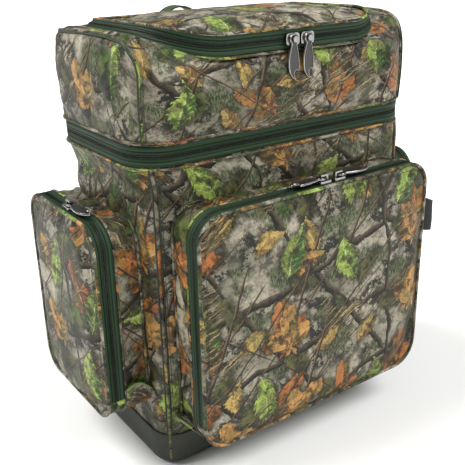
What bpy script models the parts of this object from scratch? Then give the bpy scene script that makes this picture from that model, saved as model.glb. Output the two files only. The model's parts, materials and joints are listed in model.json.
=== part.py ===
"""Camouflage tackle backpack: a tub-shaped main compartment with a lidded upper box, three zipped pockets,
a moulded base, a padded back with shoulder straps, and eight zip sliders with swinging pullers.

+Z is up, the front faces -Y, and the origin is under the middle of the whole pack. Metres throughout.
"""

import math

import bmesh
import bpy
from mathutils import Matrix, Vector

# Play left between pieces that touch on the real object.
GAP = 0.0003

# Driving sizes of the whole pack.
BODY_HALF_WIDTH = 0.184
BODY_HALF_DEPTH = 0.100
PACK_HALF_DEPTH = 0.160
SPLIT_Z = 0.378

# Fabric and tape thicknesses.
SHELL_WALL = 0.004
POCKET_WALL = 0.003
TRAY_WALL = 0.0016
TAPE_THICKNESS = 0.0013
TAPE_WIDTH = 0.0105
WEBBING_THICKNESS = 0.0018

# Moulded base.
BASE_HEIGHT = 0.044
BASE_FILLET = 0.012
BODY_CORNER = 0.028

# Belt, where the upper box is zipped to the main compartment.
BELT_HALF_WIDTH = 0.192
BELT_CORNER = 0.045
BELT_FLARE_HEIGHT = 0.022

# Lid opening in the upper box.
LID_HALF_WIDTH = 0.158
LID_BACK = 0.0880
LID_CORNER = 0.072
LID_BAND_INSET = 0.012
LID_FRONT_LOW = 0.4705
LID_SIDE_LOW = 0.4900
LID_BACK_LOW = 0.4905
LID_RISE_FRONT = 0.0190
LID_RISE_SIDE = 0.0090
LID_TOP = 0.4995
LID_CROWN_WIDTH_SHARE = 0.80
LID_CROWN_DEPTH_SHARE = 0.78
SHOULDER_WIDTH_SHARE = 0.985
SHOULDER_ROUND = 0.005

# Front pocket, in X and Z, with its depth measured from the body.
FRONT_LEFT = -0.164
FRONT_RIGHT = 0.167
FRONT_LOW = 0.050
FRONT_HIGH = 0.327
FRONT_DEPTH = 0.057
FRONT_SPLIT = 0.0465

# Side pockets, in Y and Z, with their depth measured from the body.
SIDE_FRONT = -0.071
SIDE_BACK = 0.101
SIDE_LOW = 0.0715
SIDE_HIGH = 0.3075
SIDE_DEPTH = 0.054
SIDE_SPLIT = 0.0435

# Corner radii of the pockets, low then high.
FRONT_RADII = (0.032, 0.030)
SIDE_RADII = (0.028, 0.030)

PANEL_CROWN = 0.003
PANEL_EDGE = 0.0025
PANEL_CROWN_INSET_SHARE = 0.8
POCKET_FLARE = 0.004
CORNER_STEPS = 6

# Zip hardware.
SLIDER_LENGTH = 0.018
SLIDER_WIDTH = 0.0125
SLIDER_PLATE = 0.003
SLIDER_LIFT = TAPE_THICKNESS + 3 * GAP
POST_RADIUS = 0.0017
POST_HEIGHT = 0.0036
CAP_RADIUS = 0.0033
CAP_HEIGHT = 0.0014
ARCH_HALF_LENGTH = 0.005
ARCH_HALF_WIDTH = 0.002
ARCH_BAR = 0.002
ARCH_OPENING = 0.0042
PULLER_THICKNESS = 0.0024
EYE_OUTER = 0.006
RIM_HOLE = 0.0036
POST_HOLE = 0.0022

# Where the sliders are parked along their zips.
LID_SLIDERS = (-0.004, 0.0165)
BELT_SLIDERS = (0.0, 0.021)
FRONT_SLIDERS = (0.007, 0.028)
LEFT_SLIDER = 0.004
RIGHT_SLIDER = 0.168

# A crescent-shaped puller's edge in millimetres from its eye, down one side, round the hook and back.
PULLER_EDGE = (
    (4.9, -3.5), (10.0, -5.4), (18.0, -7.2), (27.0, -7.4), (35.0, -6.0), (40.5, -2.6), (43.4, 1.4),
    (42.2, 3.0), (39.6, 1.2), (36.8, 0.4), (34.0, 1.4), (33.0, 4.0), (34.0, 6.9), (28.0, 7.2),
    (18.0, 6.4), (10.0, 4.8), (4.9, 3.5),
)

# Back padding and straps.
PAD_HALF_WIDTH = 0.122
PAD_LOW = 0.072
PAD_HIGH = 0.342
PAD_THICKNESS = 0.016
PAD_EDGE = 0.006
PAD_RADII = (0.030, 0.030)
STRAP_WIDTH = 0.062
STRAP_THICKNESS = 0.012
STRAP_OUTER = PACK_HALF_DEPTH - STRAP_THICKNESS / 2
STRAP_TILT = 0.10
WEBBING_WIDTH = 0.025
WEBBING_TILT = 0.32
WEBBING_ANCHOR = (0.146, 0.1065, 0.0740)
TAB_WIDTH = 0.030
TAB_THICKNESS = 0.003
TAB_ENDS = ((0.146, 0.053), (0.143, 0.068))

# Centre line of the wearer's left strap, mirrored for the other one.
STRAP_KNOTS = (
    (0.058, 0.1075, 0.3555), (0.060, 0.126, 0.3600), (0.064, 0.145, 0.3430), (0.070, STRAP_OUTER, 0.3150),
    (0.080, STRAP_OUTER, 0.2700), (0.091, STRAP_OUTER, 0.2250), (0.100, 0.147, 0.1850), (0.106, 0.137, 0.1560),
)

# Ladder lock: a plate with two slots for the webbing.
LOCK_HALF_WIDTH = 0.016
LOCK_HALF_HEIGHT = 0.013
LOCK_SLOT_HALF_WIDTH = 0.013
LOCK_SLOTS = ((-0.0100, -0.0045), (0.0010, 0.0100))
LOCK_THICKNESS = 0.004

# Grab handle loop, which stands on the upper box's back wall.
HANDLE_LEFT = -0.046
HANDLE_RIGHT = 0.020
HANDLE_FOOT = 0.4660
HANDLE_TOP = 0.5015
HANDLE_WIDTH = 0.020
HANDLE_THICKNESS = 0.0022

# Cloth tab in the front flap's seam.
LABEL_LOW = 0.2345
LABEL_WIDTH = 0.018
LABEL_HEIGHT = 0.044
LABEL_THICKNESS = 0.001
LABEL_DROOP = 0.004

COLOURS = {
    "camo": ((0.30, 0.28, 0.22), 0.62, 0.0),
    "base": ((0.10, 0.11, 0.095), 0.55, 0.0),
    "tape": ((0.035, 0.085, 0.035), 0.70, 0.0),
    "metal": ((0.36, 0.35, 0.34), 0.30, 1.0),
    "mesh": ((0.030, 0.040, 0.028), 0.85, 0.0),
    "webbing": ((0.035, 0.060, 0.030), 0.75, 0.0),
    "plastic": ((0.020, 0.022, 0.020), 0.45, 0.0),
    "label": ((0.012, 0.012, 0.012), 0.60, 0.0),
    "board": ((0.055, 0.055, 0.055), 0.70, 0.0),
}

Y_AXIS = Vector((0, 1, 0))
Z_AXIS = Vector((0, 0, 1))


def clear_scene():
    for existing in list(bpy.data.objects):
        bpy.data.objects.remove(existing, do_unlink=True)


def make_material(kind, piece_name):
    """A Principled material of its own for one piece, from the colour table's kind."""
    colour, roughness, metallic = COLOURS[kind]
    material = bpy.data.materials.new(piece_name + "_finish")
    material.use_nodes = True
    shader = material.node_tree.nodes["Principled BSDF"]
    shader.inputs["Base Color"].default_value = (*colour, 1.0)
    shader.inputs["Roughness"].default_value = roughness
    shader.inputs["Metallic"].default_value = metallic
    return material


def add_piece(name, bm, kind, origin=(0, 0, 0)):
    """Turn world-space geometry into a named object whose origin is at the given point."""
    bmesh.ops.translate(bm, verts=bm.verts, vec=-Vector(origin))
    mesh = bpy.data.meshes.new(name)
    bm.to_mesh(mesh)
    bm.free()
    mesh.materials.append(make_material(kind, name))
    piece = bpy.data.objects.new(name, mesh)
    piece.location = origin
    bpy.context.scene.collection.objects.link(piece)
    return piece


def solidify(piece, thickness, outward=False, gap=0.0):
    """Give a skin its thickness, inward from its faces or outward from a small gap above them."""
    modifier = piece.modifiers.new("Thickness", "SOLIDIFY")
    modifier.thickness = thickness
    modifier.offset = 1 + 2 * gap / thickness if outward else -1
    modifier.use_even_offset = True
    modifier.use_quality_normals = True
    return modifier


def outline(left, right, low, high, low_radius, high_radius):
    """Rounded rectangle, counter-clockwise from its low left corner, with the same steps at each corner."""
    corners = (
        (left + low_radius, low + low_radius, low_radius, 180),
        (right - low_radius, low + low_radius, low_radius, 270),
        (right - high_radius, high - high_radius, high_radius, 0),
        (left + high_radius, high - high_radius, high_radius, 90),
    )
    points = []
    for centre_u, centre_v, radius, start in corners:
        for step in range(CORNER_STEPS + 1):
            angle = math.radians(start + 90 * step / CORNER_STEPS)
            points.append((centre_u + radius * math.cos(angle), centre_v + radius * math.sin(angle)))
    return points


def around_low_side(row):
    """The part of an outline from its high left side, round its low side, to its high right side."""
    half = 2 * (CORNER_STEPS + 1)
    return [row[-1]] + row[:half + 1]


def around_high_side(row):
    """The part of an outline that starts on its low right side and passes over its high side."""
    half = 2 * (CORNER_STEPS + 1)
    return row[half - 1:] + [row[0]]


def skin(rows, closed=True, cap_first=False, cap_last=False):
    """Quads between rows of points, with optional end caps."""
    bm = bmesh.new()
    grid = [[bm.verts.new(point) for point in row] for row in rows]
    count = len(rows[0])
    for lower, upper in zip(grid, grid[1:]):
        for first in range(count if closed else count - 1):
            second = (first + 1) % count
            bm.faces.new((lower[first], lower[second], upper[second], upper[first]))
    if cap_first:
        bm.faces.new(list(reversed(grid[0])))
    if cap_last:
        bm.faces.new(grid[-1])
    return bm


def plate(outer, holes, thickness):
    """A flat plate in the XY plane, centred on Z = 0, from its edge and its holes' edges."""
    bm = bmesh.new()
    for loop in [outer] + holes:
        verts = [bm.verts.new((x, y, -thickness / 2)) for x, y in loop]
        for start, end in zip(verts, verts[1:] + verts[:1]):
            bm.edges.new((start, end))
    bmesh.ops.triangle_fill(bm, use_beauty=True, edges=bm.edges[:])
    extruded = bmesh.ops.extrude_face_region(bm, geom=bm.faces[:])
    top = [item for item in extruded["geom"] if isinstance(item, bmesh.types.BMVert)]
    bmesh.ops.translate(bm, verts=top, vec=(0, 0, thickness))
    bmesh.ops.recalc_face_normals(bm, faces=bm.faces[:])
    return bm


def circle(centre_x, centre_y, radius, count, start=0.0, sweep=360.0):
    """Points round an arc. A full circle leaves out the repeated last point."""
    last = count if sweep == 360.0 else count - 1
    points = []
    for step in range(count):
        angle = math.radians(start + sweep * step / last)
        points.append((centre_x + radius * math.cos(angle), centre_y + radius * math.sin(angle)))
    return points


def ribbon(centres, sides, width, thickness):
    """A flat band along a path. Each side vector runs across the band at its path point."""
    rows = []
    for index, (centre, side) in enumerate(zip(centres, sides)):
        before = centres[max(index - 1, 0)]
        after = centres[min(index + 1, len(centres) - 1)]
        along = (after - before).normalized()
        across = side.normalized() * width / 2
        up = along.cross(side).normalized() * thickness / 2
        rows.append([centre - across - up, centre + across - up, centre + across + up, centre - across + up])
    bm = skin(rows, closed=True, cap_first=True, cap_last=True)
    bmesh.ops.recalc_face_normals(bm, faces=bm.faces[:])
    return bm


def smooth_path(points, count):
    """Evenly numbered points on a Catmull-Rom curve through the given ones."""
    padded = [2 * points[0] - points[1]] + points + [2 * points[-1] - points[-2]]
    spans = len(points) - 1
    result = []
    for step in range(count):
        place = step * spans / (count - 1)
        index = min(int(place), spans - 1)
        t = place - index
        a, b, c, d = padded[index:index + 4]
        bend = 2 * a - 5 * b + 4 * c - d
        twist = 3 * b - 3 * c + d - a
        result.append((2 * b + (c - a) * t + bend * t * t + twist * t ** 3) / 2)
    return result


def plan_row(half_width, half_depth, front_radius, back_radius, height):
    """A rounded plan outline of the body at one height."""
    flat = outline(-half_width, half_width, -half_depth, half_depth, front_radius, back_radius)
    return [Vector((x, y, height)) for x, y in flat]


# Main compartment and base.

def base_row(margin, inset, height):
    """Plan outline of the base, grown by a margin and pulled in at its rounded lower edge."""
    grow = margin - inset
    radius = BODY_CORNER + grow
    return plan_row(BODY_HALF_WIDTH + grow, BODY_HALF_DEPTH + grow, radius, radius, height)


def base_rows(margin, floor, top):
    """Rows from a flat floor, round the filleted lower edge, to the given height."""
    rows = []
    for step in range(4):
        angle = math.radians(30 * step)
        inset = BASE_FILLET * (1 - math.sin(angle))
        height = floor + BASE_FILLET * (1 - math.cos(angle))
        rows.append(base_row(margin, inset, height))
    rows.append(base_row(margin, 0.0, top))
    return rows


def build_base():
    tray = add_piece("base_tray", skin(base_rows(GAP + TRAY_WALL, 0.0, BASE_HEIGHT), cap_first=True), "base")
    solidify(tray, TRAY_WALL)
    board_low = TRAY_WALL + SHELL_WALL + 3 * GAP
    board_thickness = 0.003
    inset = SHELL_WALL + BASE_FILLET
    rows = [base_row(-inset, 0.0, board_low), base_row(-inset, 0.0, board_low + board_thickness)]
    add_piece("base_board", skin(rows, cap_first=True, cap_last=True), "board")


def belt_row(height):
    return plan_row(BELT_HALF_WIDTH, BODY_HALF_DEPTH, BELT_CORNER, BODY_CORNER, height)


def build_main_shell():
    tape_low = SPLIT_Z - GAP - TAPE_WIDTH
    rows = base_rows(0.0, TRAY_WALL + GAP, tape_low - BELT_FLARE_HEIGHT)
    rows += [belt_row(tape_low), belt_row(SPLIT_Z - GAP)]
    shell = add_piece("main_shell", skin(rows, cap_first=True), "camo")
    solidify(shell, SHELL_WALL)
    tape_rows = [around_low_side(row) for row in rows[-2:]]
    tape = add_piece("belt_zip_lower_tape", skin(tape_rows, closed=False), "tape")
    solidify(tape, TAPE_THICKNESS, outward=True, gap=GAP)


# Upper box and lid.

def blend(amount):
    """Smooth step from 0 to 1."""
    amount = min(max(amount, 0.0), 1.0)
    return amount * amount * (3 - 2 * amount)


def front_share(index):
    """How far an outline point has turned from a side (0) to the front (1)."""
    steps = CORNER_STEPS
    if index <= steps:
        return index / steps
    if index <= 2 * steps + 1:
        return 1 - (index - steps - 1) / steps
    return 0.0


def lid_row(inset, rise_share, drop=0.0):
    """A row round the lid's zip. rise_share runs from 0 at the band's outer edge to 1 at its inner edge."""
    half_width = LID_HALF_WIDTH - inset
    flat = outline(-half_width, half_width, -BODY_HALF_DEPTH, LID_BACK, LID_CORNER - inset, 0.012)
    row = []
    for index, (x, y) in enumerate(flat):
        share = blend(front_share(index))
        back_share = blend((y - LID_BACK + 0.030) / 0.030)
        low = LID_SIDE_LOW + (LID_BACK_LOW - LID_SIDE_LOW) * back_share
        low += (LID_FRONT_LOW - LID_SIDE_LOW) * share
        rise = LID_RISE_SIDE + (LID_RISE_FRONT - LID_RISE_SIDE) * share
        rise *= 1 - 0.45 * back_share
        row.append(Vector((x, y, low + rise * rise_share - drop)))
    return row


def shoulder_row():
    """The upper box's top edge: high along the sides and back, low round the front corners."""
    row = []
    for index, point in enumerate(belt_row(0.0)):
        share = blend(1.4 * front_share(index) - 0.4)
        edge = Vector((point.x * SHOULDER_WIDTH_SHARE, point.y, LID_SIDE_LOW - 0.002))
        edge.z += (LID_FRONT_LOW - 0.004 - edge.z) * share
        row.append(edge)
    return row


def build_upper_box():
    split = SPLIT_Z + GAP
    wall_top = []
    for point, edge in zip(belt_row(0.0), shoulder_row()):
        wall_top.append(Vector((point.x, point.y, edge.z - SHOULDER_ROUND)))
    middle_inset = LID_BAND_INSET / 2
    rows = [belt_row(split), belt_row(split + TAPE_WIDTH), wall_top, shoulder_row(), lid_row(0.0, 0.0)]
    rows.append(lid_row(middle_inset, 0.5, drop=GAP))
    shell = add_piece("upper_shell", skin(rows, cap_first=True), "camo", (0, BODY_HALF_DEPTH + GAP, SPLIT_Z))
    solidify(shell, POCKET_WALL)
    belt_rows = [around_low_side(row) for row in rows[:2]]
    belt_tape = add_piece("belt_zip_upper_tape", skin(belt_rows, closed=False), "tape")
    solidify(belt_tape, TAPE_THICKNESS, outward=True, gap=GAP)
    rim_rows = [around_low_side(row) for row in rows[-2:]]
    rim_tape = add_piece("lid_zip_rim_tape", skin(rim_rows, closed=False), "tape")
    solidify(rim_tape, TAPE_THICKNESS, outward=True, gap=GAP)


def build_lid():
    middle_inset = LID_BAND_INSET / 2
    rim = lid_row(middle_inset, 0.5, drop=-GAP)
    inner = lid_row(LID_BAND_INSET, 1.0)
    back = LID_BACK - 0.001
    for row in (rim, inner):
        for point in row:
            point.y = min(point.y, back)
    crown = []
    for point in inner:
        crown.append(Vector((point.x * LID_CROWN_WIDTH_SHARE, point.y * LID_CROWN_DEPTH_SHARE, LID_TOP)))
    hinge = (0, LID_BACK + 0.0006, LID_BACK_LOW + 0.0025)
    panel = add_piece("lid_panel", skin([rim, inner, crown], cap_last=True), "camo", hinge)
    solidify(panel, POCKET_WALL)
    tape_rows = [around_low_side(row) for row in (rim, inner)]
    tape = add_piece("lid_zip_lid_tape", skin(tape_rows, closed=False), "tape", hinge)
    solidify(tape, TAPE_THICKNESS, outward=True, gap=GAP)


# Zipped pockets. A pocket is built on a wall: an origin, two axes in the wall and one out of it.

class Wall:
    def __init__(self, origin, across, out):
        self.origin = Vector(origin)
        self.across = Vector(across)
        self.out = Vector(out)

    def point(self, u, v, depth):
        return self.origin + self.across * u + Z_AXIS * v + self.out * depth

    def row(self, box, radii, depth, inset=0.0):
        left, right, low, high = box
        low_radius, high_radius = radii
        flat = outline(
            left + inset, right - inset, low + inset, high - inset, low_radius - inset, high_radius - inset
        )
        return [self.point(u, v, depth) for u, v in flat]


def build_pocket(name, wall, box, radii, depth, split):
    """A gusset on the body, a padded flap hinged at its low edge, and the zip's two tapes."""
    gusset_rows = [
        wall.row(box, radii, GAP, POCKET_FLARE),
        wall.row(box, radii, split - GAP - TAPE_WIDTH),
        wall.row(box, radii, split - GAP),
    ]
    gusset = add_piece(name + "_pocket_gusset", skin(gusset_rows), "camo")
    solidify(gusset, POCKET_WALL)
    tape_rows = [around_high_side(row) for row in gusset_rows[-2:]]
    tape = add_piece(name + "_zip_pocket_tape", skin(tape_rows, closed=False), "tape")
    solidify(tape, TAPE_THICKNESS, outward=True, gap=GAP)

    centre = (box[0] + box[1]) / 2
    hinge = wall.point(centre, box[2] - GAP, split)
    flap_rows = [
        wall.row(box, radii, split + GAP),
        wall.row(box, radii, depth - PANEL_EDGE),
        wall.row(box, radii, depth, PANEL_EDGE),
    ]
    crown_inset = PANEL_CROWN_INSET_SHARE * min(radii)
    flap_rows.append(wall.row(box, (max(radii), max(radii)), depth + PANEL_CROWN, crown_inset))
    flap = add_piece(name + "_flap_panel", skin(flap_rows, cap_last=True), "camo", hinge)
    solidify(flap, POCKET_WALL)
    flap_tape_rows = [around_high_side(row) for row in flap_rows[:2]]
    flap_tape = add_piece(name + "_zip_flap_tape", skin(flap_tape_rows, closed=False), "tape", hinge)
    solidify(flap_tape, TAPE_THICKNESS, outward=True, gap=GAP)


def build_pockets():
    front = Wall((0, -BODY_HALF_DEPTH, 0), (1, 0, 0), (0, -1, 0))
    front_box = (FRONT_LEFT, FRONT_RIGHT, FRONT_LOW, FRONT_HIGH)
    build_pocket("front", front, front_box, FRONT_RADII, FRONT_DEPTH, FRONT_SPLIT)
    left = Wall((-BODY_HALF_WIDTH, 0, 0), (0, -1, 0), (-1, 0, 0))
    left_box = (-SIDE_BACK, -SIDE_FRONT, SIDE_LOW, SIDE_HIGH)
    build_pocket("left", left, left_box, SIDE_RADII, SIDE_DEPTH, SIDE_SPLIT)
    right = Wall((BODY_HALF_WIDTH, 0, 0), (0, 1, 0), (1, 0, 0))
    right_box = (SIDE_FRONT, SIDE_BACK, SIDE_LOW, SIDE_HIGH)
    build_pocket("right", right, right_box, SIDE_RADII, SIDE_DEPTH, SIDE_SPLIT)


def build_label():
    """A folded cloth tab sewn into the front flap's right-hand seam."""
    start = FRONT_RIGHT + TAPE_THICKNESS + 3 * GAP
    end = start + LABEL_WIDTH
    high = LABEL_LOW + LABEL_HEIGHT
    tab = [
        (start, LABEL_LOW), (end, LABEL_LOW - LABEL_DROOP),
        (end + GAP, high - 2 * LABEL_DROOP), (start, high),
    ]
    y = -BODY_HALF_DEPTH - FRONT_DEPTH + 2 * PANEL_EDGE
    rows = [[Vector((x, y + offset, z)) for x, z in tab] for offset in (0.0, -LABEL_THICKNESS)]
    hinge = (0, -BODY_HALF_DEPTH - FRONT_SPLIT, FRONT_LOW - GAP)
    add_piece("side_label", skin(rows, cap_first=True, cap_last=True), "label", hinge)


# Zip sliders and pullers. A slider's own axes: +X along the zip, +Z out of the cloth.

def solid_box(low, high):
    bm = bmesh.new()
    bmesh.ops.create_cube(bm, size=1.0)
    size = Vector(high) - Vector(low)
    middle = (Vector(high) + Vector(low)) / 2
    bmesh.ops.scale(bm, verts=bm.verts, vec=size)
    bmesh.ops.translate(bm, verts=bm.verts, vec=middle)
    return bm


def joined_mesh(name, first, others):
    """The union of overlapping closed shapes as one mesh."""
    target = add_piece(name, first, "metal")
    helpers = []
    for index, shape in enumerate(others):
        helper = add_piece(f"{name}_helper_{index}", shape, "metal")
        helper.hide_render = True
        helper.display_type = "WIRE"
        modifier = target.modifiers.new("Join", "BOOLEAN")
        modifier.operation = "UNION"
        modifier.object = helper
        helpers.append(helper)
    graph = bpy.context.evaluated_depsgraph_get()
    mesh = bpy.data.meshes.new_from_object(target.evaluated_get(graph))
    for temporary in [target] + helpers:
        bpy.data.objects.remove(temporary, do_unlink=True)
    return mesh


def slider_plate():
    low = (-SLIDER_LENGTH / 2, -SLIDER_WIDTH / 2, 0)
    bm = solid_box(low, (SLIDER_LENGTH / 2, SLIDER_WIDTH / 2, SLIDER_PLATE))
    upright = [edge for edge in bm.edges if abs(edge.verts[0].co.z - edge.verts[1].co.z) > GAP]
    bmesh.ops.bevel(bm, geom=upright, offset=0.003, segments=2, affect="EDGES", profile=0.5)
    return bm


def turned(profile, count):
    """A closed solid turned about Z from (radius, height) pairs that start and end on flat faces."""
    rows = []
    for radius, height in profile:
        rows.append([Vector((x, y, height)) for x, y in circle(0, 0, radius, count)])
    return skin(rows, cap_first=True, cap_last=True)


def post_slider_mesh():
    """A slider with a capped post, on which a hanging puller swings sideways."""
    top = SLIDER_PLATE + POST_HEIGHT
    profile = [(POST_RADIUS, SLIDER_PLATE / 2), (POST_RADIUS, top)]
    profile += [(CAP_RADIUS, top), (CAP_RADIUS, top + CAP_HEIGHT)]
    return joined_mesh("post_slider", slider_plate(), [turned(profile, 10)])


def arch_slider_mesh():
    """A slider with an arch, through which the puller's eye flips over."""
    under = SLIDER_PLATE + ARCH_OPENING
    outer = [(-ARCH_HALF_LENGTH, SLIDER_PLATE / 2), (ARCH_HALF_LENGTH, SLIDER_PLATE / 2)]
    outer += [(ARCH_HALF_LENGTH, under + ARCH_BAR), (-ARCH_HALF_LENGTH, under + ARCH_BAR)]
    inside = ARCH_HALF_LENGTH - ARCH_BAR
    low = SLIDER_PLATE * 0.75
    opening = [(-inside, low), (inside, low), (inside, under), (-inside, under)]
    arch = plate(outer, [opening], 2 * ARCH_HALF_WIDTH)
    bmesh.ops.rotate(arch, verts=arch.verts, matrix=Matrix.Rotation(math.pi / 2, 3, "X"))
    return joined_mesh("arch_slider", slider_plate(), [arch])


def puller_mesh(name, eye_x, hole_radius):
    """A crescent puller along +X. Its hinge is at the origin, and its eye is centred at eye_x."""
    eye = circle(eye_x, 0, EYE_OUTER, 10, 35.5, 289.0)
    edge = [(eye_x + x / 1000, y / 1000) for x, y in PULLER_EDGE]
    hole = circle(eye_x, 0, hole_radius, 12)
    bm = plate(edge + eye[1:-1], [hole], PULLER_THICKNESS)
    mesh = bpy.data.meshes.new(name)
    bm.to_mesh(mesh)
    bm.free()
    return mesh


def link_copy(name, mesh, frame, kind):
    """Place a named copy of a shared mesh. Its material sits on the object, so each piece has its own."""
    piece = bpy.data.objects.new(name, mesh)
    if not mesh.materials:
        mesh.materials.append(None)
    piece.material_slots[0].link = "OBJECT"
    piece.material_slots[0].material = make_material(kind, name)
    piece.matrix_world = frame
    bpy.context.scene.collection.objects.link(piece)
    return piece


def frame_at(place, along, out):
    """A placing matrix with +X along the zip and +Z out of the cloth."""
    along = Vector(along)
    out = Vector(out)
    across = out.cross(along)
    rotation = Matrix((along, across, out)).transposed().to_4x4()
    return Matrix.Translation(Vector(place) + out * SLIDER_LIFT) @ rotation


def build_sliders():
    post = post_slider_mesh()
    arch = arch_slider_mesh()
    rim_puller = puller_mesh("rim_puller", (EYE_OUTER + RIM_HOLE) / 2, RIM_HOLE)
    post_puller = puller_mesh("post_puller", 0.0, POST_HOLE)
    lid_z = LID_FRONT_LOW + LID_RISE_FRONT / 2
    front_y = -BODY_HALF_DEPTH - FRONT_SPLIT
    side_x = BODY_HALF_WIDTH + SIDE_SPLIT
    down = (0, 0, -1)
    hung = (
        ("lid_left", (LID_SLIDERS[0], -BODY_HALF_DEPTH, lid_z), (1, 0, 0), (0, -1, 0)),
        ("lid_right", (LID_SLIDERS[1], -BODY_HALF_DEPTH, lid_z), (1, 0, 0), (0, -1, 0)),
        ("belt_front", (BELT_HALF_WIDTH, BELT_SLIDERS[0], SPLIT_Z), (0, 1, 0), (1, 0, 0)),
        ("belt_back", (BELT_HALF_WIDTH, BELT_SLIDERS[1], SPLIT_Z), (0, 1, 0), (1, 0, 0)),
    )
    for name, place, along, out in hung:
        slider = link_copy(name + "_slider", post, frame_at(place, along, out), "metal")
        lift = SLIDER_PLATE + POST_HEIGHT / 2
        place_out = slider.matrix_world.translation + Vector(out) * lift
        puller_frame = frame_at(place_out, down, out)
        puller_frame.translation = place_out
        link_copy(name + "_puller", post_puller, puller_frame, "metal")
    flipped = (
        ("front_left", (FRONT_SLIDERS[0], front_y, FRONT_HIGH), (-1, 0, 0), (0, 0, 1)),
        ("front_right", (FRONT_SLIDERS[1], front_y, FRONT_HIGH), (1, 0, 0), (0, 0, 1)),
        ("left", (-side_x, LEFT_SLIDER, SIDE_HIGH), (0, -1, 0), (0, 0, 1)),
        ("right", (side_x, SIDE_FRONT, RIGHT_SLIDER), (0, 0, -1), (0, -1, 0)),
    )
    for name, place, along, out in flipped:
        slider = link_copy(name + "_slider", arch, frame_at(place, along, out), "metal")
        place_out = slider.matrix_world.translation + Vector(out) * (SLIDER_PLATE + ARCH_OPENING / 2)
        puller_frame = slider.matrix_world.copy()
        puller_frame.translation = place_out
        link_copy(name + "_puller", rim_puller, puller_frame, "metal")


# Back padding, straps and handle.

def build_back_pad():
    wall = Wall((0, BODY_HALF_DEPTH, 0), (-1, 0, 0), (0, 1, 0))
    box = (-PAD_HALF_WIDTH, PAD_HALF_WIDTH, PAD_LOW, PAD_HIGH)
    rows = [
        wall.row(box, PAD_RADII, GAP, PAD_EDGE),
        wall.row(box, PAD_RADII, GAP + PAD_EDGE),
        wall.row(box, PAD_RADII, PAD_THICKNESS - PAD_EDGE),
        wall.row(box, PAD_RADII, PAD_THICKNESS, PAD_EDGE),
    ]
    add_piece("back_pad", skin(rows, cap_first=True, cap_last=True), "mesh")


def build_strap(side, name):
    """A padded shoulder strap with what carries its load down to the base."""
    path = smooth_path([Vector((side * x, y, z)) for x, y, z in STRAP_KNOTS], 17)
    for point in path:
        point.y = min(point.y, STRAP_OUTER)
    sides = [Vector((1, 0, STRAP_TILT * side * index / len(path))) for index in range(len(path))]
    add_piece(name + "_shoulder_strap", ribbon(path, sides, STRAP_WIDTH, STRAP_THICKNESS), "mesh")
    heading = (path[-1] - path[-2]).normalized()
    lock_end = build_ladder_lock(side, name, path[-1], heading)
    build_webbing(side, name, lock_end)


def build_ladder_lock(side, name, strap_end, heading):
    """The slotted plate at a strap's end. Returns the point just past it."""
    centre = strap_end + heading * (LOCK_HALF_HEIGHT + 5 * GAP)
    across = Vector((1, 0, STRAP_TILT * side)).normalized()
    facing = heading.cross(across).normalized()
    edge = outline(-LOCK_HALF_WIDTH, LOCK_HALF_WIDTH, -LOCK_HALF_HEIGHT, LOCK_HALF_HEIGHT, 0.003, 0.003)
    slots = []
    for low, high in LOCK_SLOTS:
        slots.append(outline(-LOCK_SLOT_HALF_WIDTH, LOCK_SLOT_HALF_WIDTH, low, high, 0.001, 0.001))
    lock = plate(edge, slots, LOCK_THICKNESS)
    turn = Matrix((across, heading, -facing)).transposed()
    bmesh.ops.rotate(lock, verts=lock.verts, matrix=turn)
    bmesh.ops.translate(lock, verts=lock.verts, vec=centre)
    bmesh.ops.recalc_face_normals(lock, faces=lock.faces[:])
    add_piece(name + "_ladder_lock", lock, "plastic")
    return centre + heading * (LOCK_HALF_HEIGHT + 12 * GAP)


def build_webbing(side, name, start):
    """The adjusting webbing from the ladder lock to the tab sewn above the base."""
    x, y, z = WEBBING_ANCHOR
    anchor = Vector((side * x, y, z))
    middle = start.lerp(anchor, 0.5) + Vector((side * 0.004, 0.003, 0))
    path = smooth_path([start, middle, anchor], 7)
    sides = [Vector((1, 0, WEBBING_TILT * side)) for _ in path]
    webbing = ribbon(path, sides, WEBBING_WIDTH, WEBBING_THICKNESS)
    add_piece(name + "_strap_webbing", webbing, "webbing")
    tab_y = BODY_HALF_DEPTH + GAP + TAB_THICKNESS / 2
    tab_path = [Vector((side * x, tab_y, z)) for x, z in TAB_ENDS]
    tab_sides = [Vector((1, 0, 2 * STRAP_TILT * side)) for _ in tab_path]
    add_piece(name + "_webbing_tab", ribbon(tab_path, tab_sides, TAB_WIDTH, TAB_THICKNESS), "webbing")


def build_handle():
    """A short webbing loop standing on the upper box's back wall."""
    middle = (HANDLE_LEFT + HANDLE_RIGHT) / 2
    half = (HANDLE_RIGHT - HANDLE_LEFT) / 2
    rise = HANDLE_TOP - HANDLE_FOOT
    foot_y = BODY_HALF_DEPTH + 0.0020
    path = []
    for step in range(13):
        angle = math.radians(180 - 15 * step)
        x = middle + half * math.cos(angle)
        path.append(Vector((x, foot_y + 0.0115, HANDLE_FOOT + rise * math.sin(angle))))
    sides = [Y_AXIS for _ in path]
    loop = ribbon(path, sides, HANDLE_WIDTH, HANDLE_THICKNESS)
    add_piece("grab_handle", loop, "webbing", (middle, foot_y, HANDLE_FOOT))


def main():
    clear_scene()
    build_base()
    build_main_shell()
    build_upper_box()
    build_lid()
    build_pockets()
    build_label()
    build_sliders()
    build_back_pad()
    build_strap(-1, "left")
    build_strap(1, "right")
    build_handle()


main()
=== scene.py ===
"""Looks of the camouflage tackle backpack, built on its CAD frame."""

import json
import math

import bmesh
import bpy
from mathutils import Matrix, Vector
from mathutils.geometry import delaunay_2d_cdt

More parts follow.
